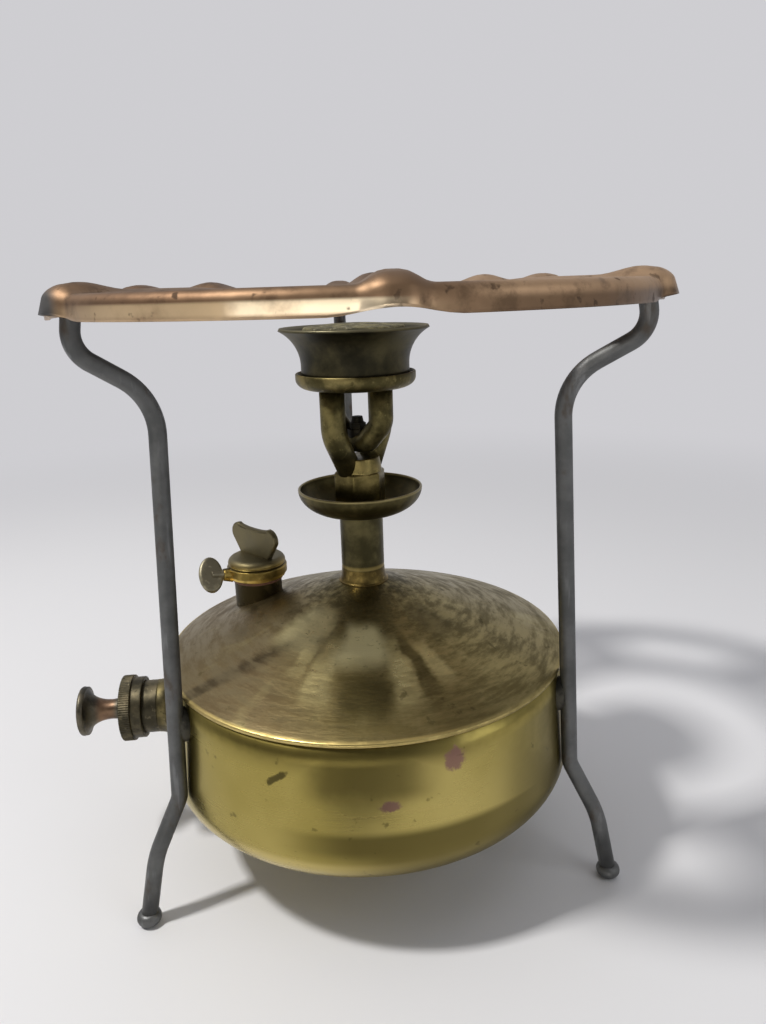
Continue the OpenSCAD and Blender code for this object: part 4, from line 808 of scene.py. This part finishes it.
cap_face, flange_t, skirt_len, cap_r, cap_skirt_r, rod_r = 94.4, 4.2, 4.0, 12.4, 11.5, 2.5
knurl_teeth, knurl_depth, knurl_edge = 90, 0.22, 0.3
flange_start, rod_hole_r = cap_face - flange_t, rod_r + pump_gap
skirt_start = flange_start - skirt_len
cap_outline = eased([
    [rod_hole_r, barrel_end], [sleeve_r, barrel_end], [sleeve_r, skirt_start], [cap_skirt_r, skirt_start],
    [cap_skirt_r, flange_start], [cap_r, flange_start], [cap_r, cap_face], [rod_hole_r, cap_face]], 0.35)


def knurled(grid, line, teeth, depth, inner, edge):
    """Moves points beyond the inner radius in by depth (1 + cos(teeth a)) / 2: straight grooves round a
    turned rim, which run out over an edge."""
    centre, out, side = (np.array(line[key], float) for key in ("origin", "out", "side"))
    off = grid - centre
    u, v = off @ out, off @ side
    r = np.hypot(u, v)
    cut = depth * np.clip((r - inner) / edge, 0, 1) * (1 + np.cos(teeth * np.arctan2(v, u))) / 2
    share = cut / np.maximum(r, 1e-6)
    return grid - share[..., None] * (u[..., None] * out + v[..., None] * side)


cap_grid = knurled(spun(cap_outline, 6 * knurl_teeth, **pump_line), pump_line, knurl_teeth, knurl_depth,
                   cap_skirt_r + knurl_edge, knurl_edge)
fit("pump_cap_knurled", dull_brass, "worn_brass", "pump_cap", cap_grid)

# Plunger. A waisted brass knob on a steel rod; inside, a leather cup between a disc and a nut
# drives the air. The knob is dark with a copper glint on its neck.

knob_start, knob_h, knob_r, waist_r, knob_base_r, knob_rim_t, knob_edge = 94.45, 16.0, 9.3, 3.7, 5.7, 2.4, 1.0
grip, knob_end = knob_h - knob_rim_t, knob_start + knob_h
neck = grip * 0.35
knob_outline = np.r_[
    [[0, knob_start], [knob_base_r, knob_start]],
    bow((knob_base_r, knob_start + neck), knob_base_r - waist_r, neck, 270, 180, 12),
    bow((knob_r, knob_start + neck), knob_r - waist_r, grip - neck, 180, 92, 18),
    bow((knob_r - knob_edge, knob_end - knob_edge), knob_edge, knob_edge, -30, 90, 8),
    [[4.0, knob_end], [0, knob_end]]]
knob_brass, paint = finish_of("handled brass")
along = axis_x - knob_start - paint.place().part(0) / mm
cloud = paint.clouds(150, 4, 0.6)
glint = along.band(2, 4.5, 8, 11) * cloud
paint.feed(
    Base_Color=paint.mix(
        (0.05, 0.046, 0.037), ((0.15, 0.132, 0.095), cloud.step(0.36, 0.66)),
        ((0.34, 0.17, 0.085), glint * 0.75)),
    Metallic=0.9, Roughness=0.36 + 0.16 * cloud, Normal=paint.bump(cloud, 0.0003, 0.4))
fit("pump_knob_brass", knob_brass, "worn_brass", "pump_knob", spun(knob_outline, 96, **pump_line),
    body="plunger")

rod_steel, paint = finish_of("oiled rod steel")
cloud = paint.clouds(1, 3, 0.6, paint.place((60, 500, 500)))
paint.feed(
    Base_Color=paint.mix((0.17, 0.17, 0.165), ((0.4, 0.39, 0.37), cloud.step(0.35, 0.65))),
    Metallic=1, Roughness=0.26 + 0.2 * cloud)
oiled_leather, paint = finish_of("oiled leather")
grain = paint.node("TexVoronoi", {"Vector": paint.place(), "Scale": 900.0})
paint.feed(
    Base_Color=paint.mix((0.1, 0.045, 0.025), ((0.24, 0.115, 0.065), paint.clouds(160, 4))),
    Metallic=0, Roughness=0.5 + 0.2 * grain, Normal=paint.bump(grain, 0.0004, 0.5))
coat(rod_steel, "pump_rod")
coat(oiled_leather, "pump_leather", "valve_pip")
coat(bright_brass, "leather_disc", "leather_nut", "valve_body")
coat(solder_grey, "valve_washer")

# Check valve's spring. Four turns of steel wire, loose in the valve's body behind the pip; it
# shortens when the air lifts the pip.

spring_r, spring_turns, wire_r, valve_travel = 2.4, 4, 0.3, 1.5
spring_low, spring_high = (corner.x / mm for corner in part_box("valve_spring"))
spring_start, spring_run = axis_x - spring_high + wire_r, spring_high - spring_low - 2 * wire_r


def coil(turns, run, radius, wire, start, line):
    """A wire wound about a line: the section's centre turns at a radius while it climbs by run, and the
    section, a circle in the plane through the line, shrinks to a point at both ends."""
    steps, sides = 32 * turns + 1, 12
    share = np.r_[0.0, np.linspace(0, 1, steps), 1.0][:, None, None]
    size = np.r_[0.0, np.ones(steps), 0.0][:, None, None] * wire
    section = np.linspace(0, 2 * np.pi, sides + 1)[None, :, None]
    turn = 2 * np.pi * turns * share
    origin, out, side, up = (np.array(line[key]) for key in ("origin", "out", "side", "up"))
    away = np.cos(turn) * out + np.sin(turn) * side
    climb = start + run * share + size * np.sin(section)
    return origin + (radius + size * np.cos(section)) * away + climb * up


spring = fit("valve_spring_wire", rod_steel, "steel", "valve_spring",
             coil(spring_turns, spring_run, spring_r, wire_r, spring_start, pump_line))
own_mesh(spring)

# Filler. A short neck soldered into the cone, a leather gasket, and a turned cap with a bright
# lip, a grooved drum and a cast wing plate to turn it by. The cap is dull where hands reach.

neck_low, neck_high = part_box("filler_neck")
filler = np.array([(neck_low.x + neck_high.x) / 2, (neck_low.y + neck_high.y) / 2, neck_high.z]) / mm
neck_bore_r, neck_r, gasket_r, gasket_t = 7.2, 9.5, 10.1, 1.5
neck_outline = tube_wall(neck_bore_r, neck_r, (neck_low.z - neck_high.z) / mm, 0.0)
# Painted shade: the neck is coloured near-black, as it lies in shadow under the cap.
shaded_neck_brass = heat_browned("neck brass", (0.045, 0.034, 0.014), (0.14, 0.105, 0.045), 0.45, 0.42)
fit("filler_neck_brass", shaded_neck_brass, "dark_brass", "filler_neck", spun(neck_outline, 80, filler))
gasket_outline = tube_wall(neck_bore_r, gasket_r, 0.0, gasket_t, 0.4)
fit("filler_gasket_leather", oiled_leather, "leather", "filler_gasket",
    spun(gasket_outline, 80, filler), body="filler_seal")

plug_r, plug_low, cap_lip_r, flange_r, drum_r, drum_edge = 7.15, gasket_t - 6.8, 11.2, 12.0, 11.5, 2.4
lip_top, flange_top, drum_top = 2.9, 6.5, 9.8
cap_body = np.r_[
    eased([[0, plug_low], [plug_r, plug_low], [plug_r, gasket_t], [cap_lip_r, gasket_t],
           [cap_lip_r, lip_top], [flange_r, lip_top], [flange_r, flange_top - 0.5],
           [drum_r - 0.6, flange_top], [drum_r, flange_top + 0.5]], 0.3)[3:-1],
    bow((drum_r - drum_edge, drum_top - drum_edge), drum_edge, drum_edge, 0, 90, 12), [[0, drum_top]]]


def plate_of(outline, thickness, ease, origin, u, v):
    """A flat plate with eased edges: its outline at rising depths, drawn in by ease at both faces, and
    closed to the middle; u and v span its plane."""
    u, v = np.array(u, float), np.array(v, float)
    along = np.roll(outline, -1, 0) - np.roll(outline, 1, 0)
    inward = unit(np.c_[-along[:, 1], along[:, 0]])
    middle = np.repeat(outline.mean(0)[None], len(outline), 0)
    drawn_in = [middle, *(outline + inward * ease * cut for cut in (1.6, 1.0, 0.3, 0.0))]
    sunk = thickness / 2 - ease * np.array([0.0, 0.0, 0.0, 0.3, 1.0])
    rings = np.array(drawn_in + drawn_in[::-1])
    rings = np.concatenate([rings, rings[:, :1]], axis=1)
    depth = np.r_[-sunk, sunk[::-1]][:, None, None]
    return np.array(origin) + rings[..., :1] * u + rings[..., 1:] * v + depth * np.cross(u, v)


wing_w, wing_h, wing_t, wing_tip_r, wing_foot_w, wing_in, wing_notch = 27.0, 12.4, 2.4, 4.4, 17.0, 0.4, 1.2
tip = np.array([wing_w / 2 - wing_tip_r, wing_h - wing_tip_r])
right_half = np.r_[[[wing_foot_w / 2, -wing_in]], bow(tip, wing_tip_r, wing_tip_r, -20, 90, 12)]
notch = bow((0, wing_h), tip[0] * 0.98, wing_notch, -4, -176, 13)
wing_outline = np.r_[right_half, notch, (right_half * [-1, 1])[::-1], [[0, -wing_in]]]
wing_turn = math.radians(-48)
wing = plate_of(wing_outline, wing_t, 0.6, filler + (0, 0, drum_top),
                (math.cos(wing_turn), math.sin(wing_turn), 0), (0, 0, 1))

air_turn, air_tilt, air_r, air_rise = math.radians(-68), math.radians(10), 1.8, 2.2
nose_h, nose_in, nose_foot, nose_tip = 2.4, 1.6, 1.2, 0.6
air_out = np.array([math.sin(air_turn), -math.cos(air_turn), 0.0])
upward = np.array([0.0, 0.0, 1.0])
air_dir = math.cos(air_tilt) * air_out + math.sin(air_tilt) * upward
air_side = np.cross(upward, air_out)
air_up = np.cross(air_dir, air_side)
air_foot = filler + flange_r * air_out + (gasket_t + air_rise) * upward
air_line = dict(origin=air_foot, out=air_side, side=air_up, up=air_dir)
nose_outline = [[0, -nose_in], [air_r + nose_foot, -nose_in], [air_r + nose_tip, nose_h], [0, nose_h]]
nose = spun(eased(nose_outline, 0.3)[off_axis], 48, **air_line)

cap_brass, paint = finish_of("handled cap brass")
height = paint.place(centre=filler * mm).part(2) / mm
out = paint.place((1, 1, 0), filler * mm).length() / mm
cloud = paint.clouds(130, 5, 0.6)
low_lip = (1 - height.step(lip_top - 0.3, lip_top + 0.6)) * (1 - out.step(12.1, 12.6))
bright_lip = low_lip * cloud.step(0.2, 0.55)
groove = height.band(flange_top - 0.6, flange_top - 0.1, flange_top + 0.1, flange_top + 0.6)
dull = height.step(flange_top, drum_top)
paint.feed(
    Base_Color=paint.mix(
        (0.19, 0.135, 0.034), ((0.4, 0.285, 0.08), cloud.step(0.36, 0.66)),
        ((0.165, 0.15, 0.095), dull * 0.85), ((0.74, 0.53, 0.15), bright_lip),
        ((0.05, 0.04, 0.02), groove * 0.8)),
    Metallic=0.95, Roughness=0.3 + 0.14 * cloud + 0.14 * dull - 0.1 * bright_lip,
    Normal=paint.bump(cloud, 0.0003, 0.4))
fit("filler_cap_winged", cap_brass, "worn_brass", "filler_cap", spun(cap_body, 120, filler), wing, nose,
    body="filler_cap")

# Air screw. A short screw with an oval thumb plate, in the cap's nose; loosened, it lets the
# pressure out of the tank.

thumb_w, thumb_h, thumb_t, thumb_turn, thumb_gap = 9.6, 14.6, 2.4, math.radians(35), 0.05
point_r, point_end, point_start = 0.9, -4.75, -1.25
plate_up = math.cos(thumb_turn) * air_up - math.sin(thumb_turn) * air_side
thumb_mid = nose_h + thumb_gap + thumb_w / 2
oval = bow((0, 0), thumb_w / 2, thumb_h / 2, 0, 352.5, 48)
shank_outline = [[0, point_end], [point_r, point_end], [point_r, point_start], [air_r, point_start],
                 [air_r, thumb_mid], [0, thumb_mid]]
thumb_brass = heat_browned("thumb brass", (0.2, 0.18, 0.125), (0.42, 0.38, 0.26), 0.5, 0.4)
fit("air_screw_thumb", thumb_brass, "worn_brass", "air_screw",
    spun(eased(shank_outline, 0.2)[off_axis], 32, **air_line),
    plate_of(oval, thumb_t, 0.8, air_foot + thumb_mid * air_dir, air_dir, plate_up), body="air_screw")

# Studio. A plain pale floor that fades into a pale backdrop, with a dark patch that only
# reflections see; a soft lamp high on the left and a weak one on the right; a sky that is pale
# above and behind and dim in front, with a bright doorway low at the front left.

scene = bpy.context.scene
backdrop, floor_gap = (0.62, 0.615, 0.64), 0.05
a = np.linspace(0, 2 * np.pi, 97)[None, :, None]
r = np.array([0.0, 250.0, 500.0, 1000.0, 2500.0, 6000.0])[:, None, None]
floor = grid_piece("floor", np.concatenate([r * np.cos(a), r * np.sin(a), 0 * r * a - floor_gap], -1))
floor_paint, paint = finish_of("pale table")
reach = paint.place().length()
patch = 1 - paint.place((11.5, 7.8, 0), (axis_x * mm - 0.036, -0.285, 0)).length().step(0.82, 1.06)
unseen = patch * (1 - paint.node("LightPath"))
paint.feed(Base_Color=paint.mix((0.74, 0.74, 0.755), ((0.03, 0.028, 0.025), unseen)), Roughness=0.6)
nodes = paint.tree.nodes
near = Paint(paint.tree, nodes["Principled BSDF"].outputs[0])
far = paint.node("Emission", {"Color": (*backdrop, 1), "Strength": 1.0})
faded = paint.node("MixShader", {0: reach.step(0.35, 0.95), 1: near, 2: far})
paint.plug(nodes["Material Output"], {"Surface": faded})
floor.data.materials.append(floor_paint)

aim = Vector((0, 0, 0.1))
for name, place, size, power, colour in (
        ("window", (-0.58, -0.16, 1.06), 0.11, 10.5, (1.0, 0.98, 0.95)),
        ("fill", (0.9, -0.7, 0.7), 0.8, 3.0, (0.95, 0.97, 1.0))):
    light = bpy.data.lights.new(name, "AREA")
    light.size, light.energy, light.color = size, power, colour
    lamp = bpy.data.objects.new(name, light)
    lamp.location = place
    lamp.rotation_euler = (aim - Vector(place)).to_track_quat("-Z", "Y").to_euler()
    scene.collection.objects.link(lamp)

world = bpy.data.worlds.new("room")
scene.world = world
world.use_nodes = True
paint = Paint(world.node_tree)
way = paint.node("TexCoord", output=0)
aside, ahead, above = (way.part(axis) for axis in range(3))
in_front = 1 - ahead.step(-0.35, 0.45)
dim = in_front * above.step(0.05, 0.22) * (1 - above.step(0.75, 0.95))
horizon = in_front * (1 - paint.maths("ABSOLUTE", above).step(0.03, 0.13))
front = paint.mix((0.85, 0.83, 0.8), ((4.6, 4.45, 4.2), aside.band(-0.78, -0.6, -0.12, 0.15)))
room = paint.mix((0.55, 0.55, 0.575), ((0.1, 0.097, 0.092), dim), (front, horizon),
                 (backdrop, paint.node("LightPath")))
paint.plug(world.node_tree.nodes["Background"], {"Color": room})

# Camera. It stands at the height of the pan ring and looks a little down on the tank.

focal_px, frame_px, sensor = 768.0, 1024.0, 36.0
heading, tilt, roll = math.radians(5.54), math.radians(16.16), math.radians(1.80)
camera_at = ((axis_x - 18.39) * mm, -273.98 * mm, 210.1 * mm)
turned = (Matrix.Rotation(-heading, 4, "Z") @ Matrix.Rotation(math.pi / 2 - tilt, 4, "X")
          @ Matrix.Rotation(-roll, 4, "Z"))
camera = bpy.data.objects.new("camera", bpy.data.cameras.new("camera"))
camera.data.sensor_width = sensor
camera.data.lens = focal_px / frame_px * sensor
camera.matrix_world = Matrix.Translation(camera_at) @ turned
scene.collection.objects.link(camera)
scene.camera = camera
scene.view_settings.view_transform = "Standard"
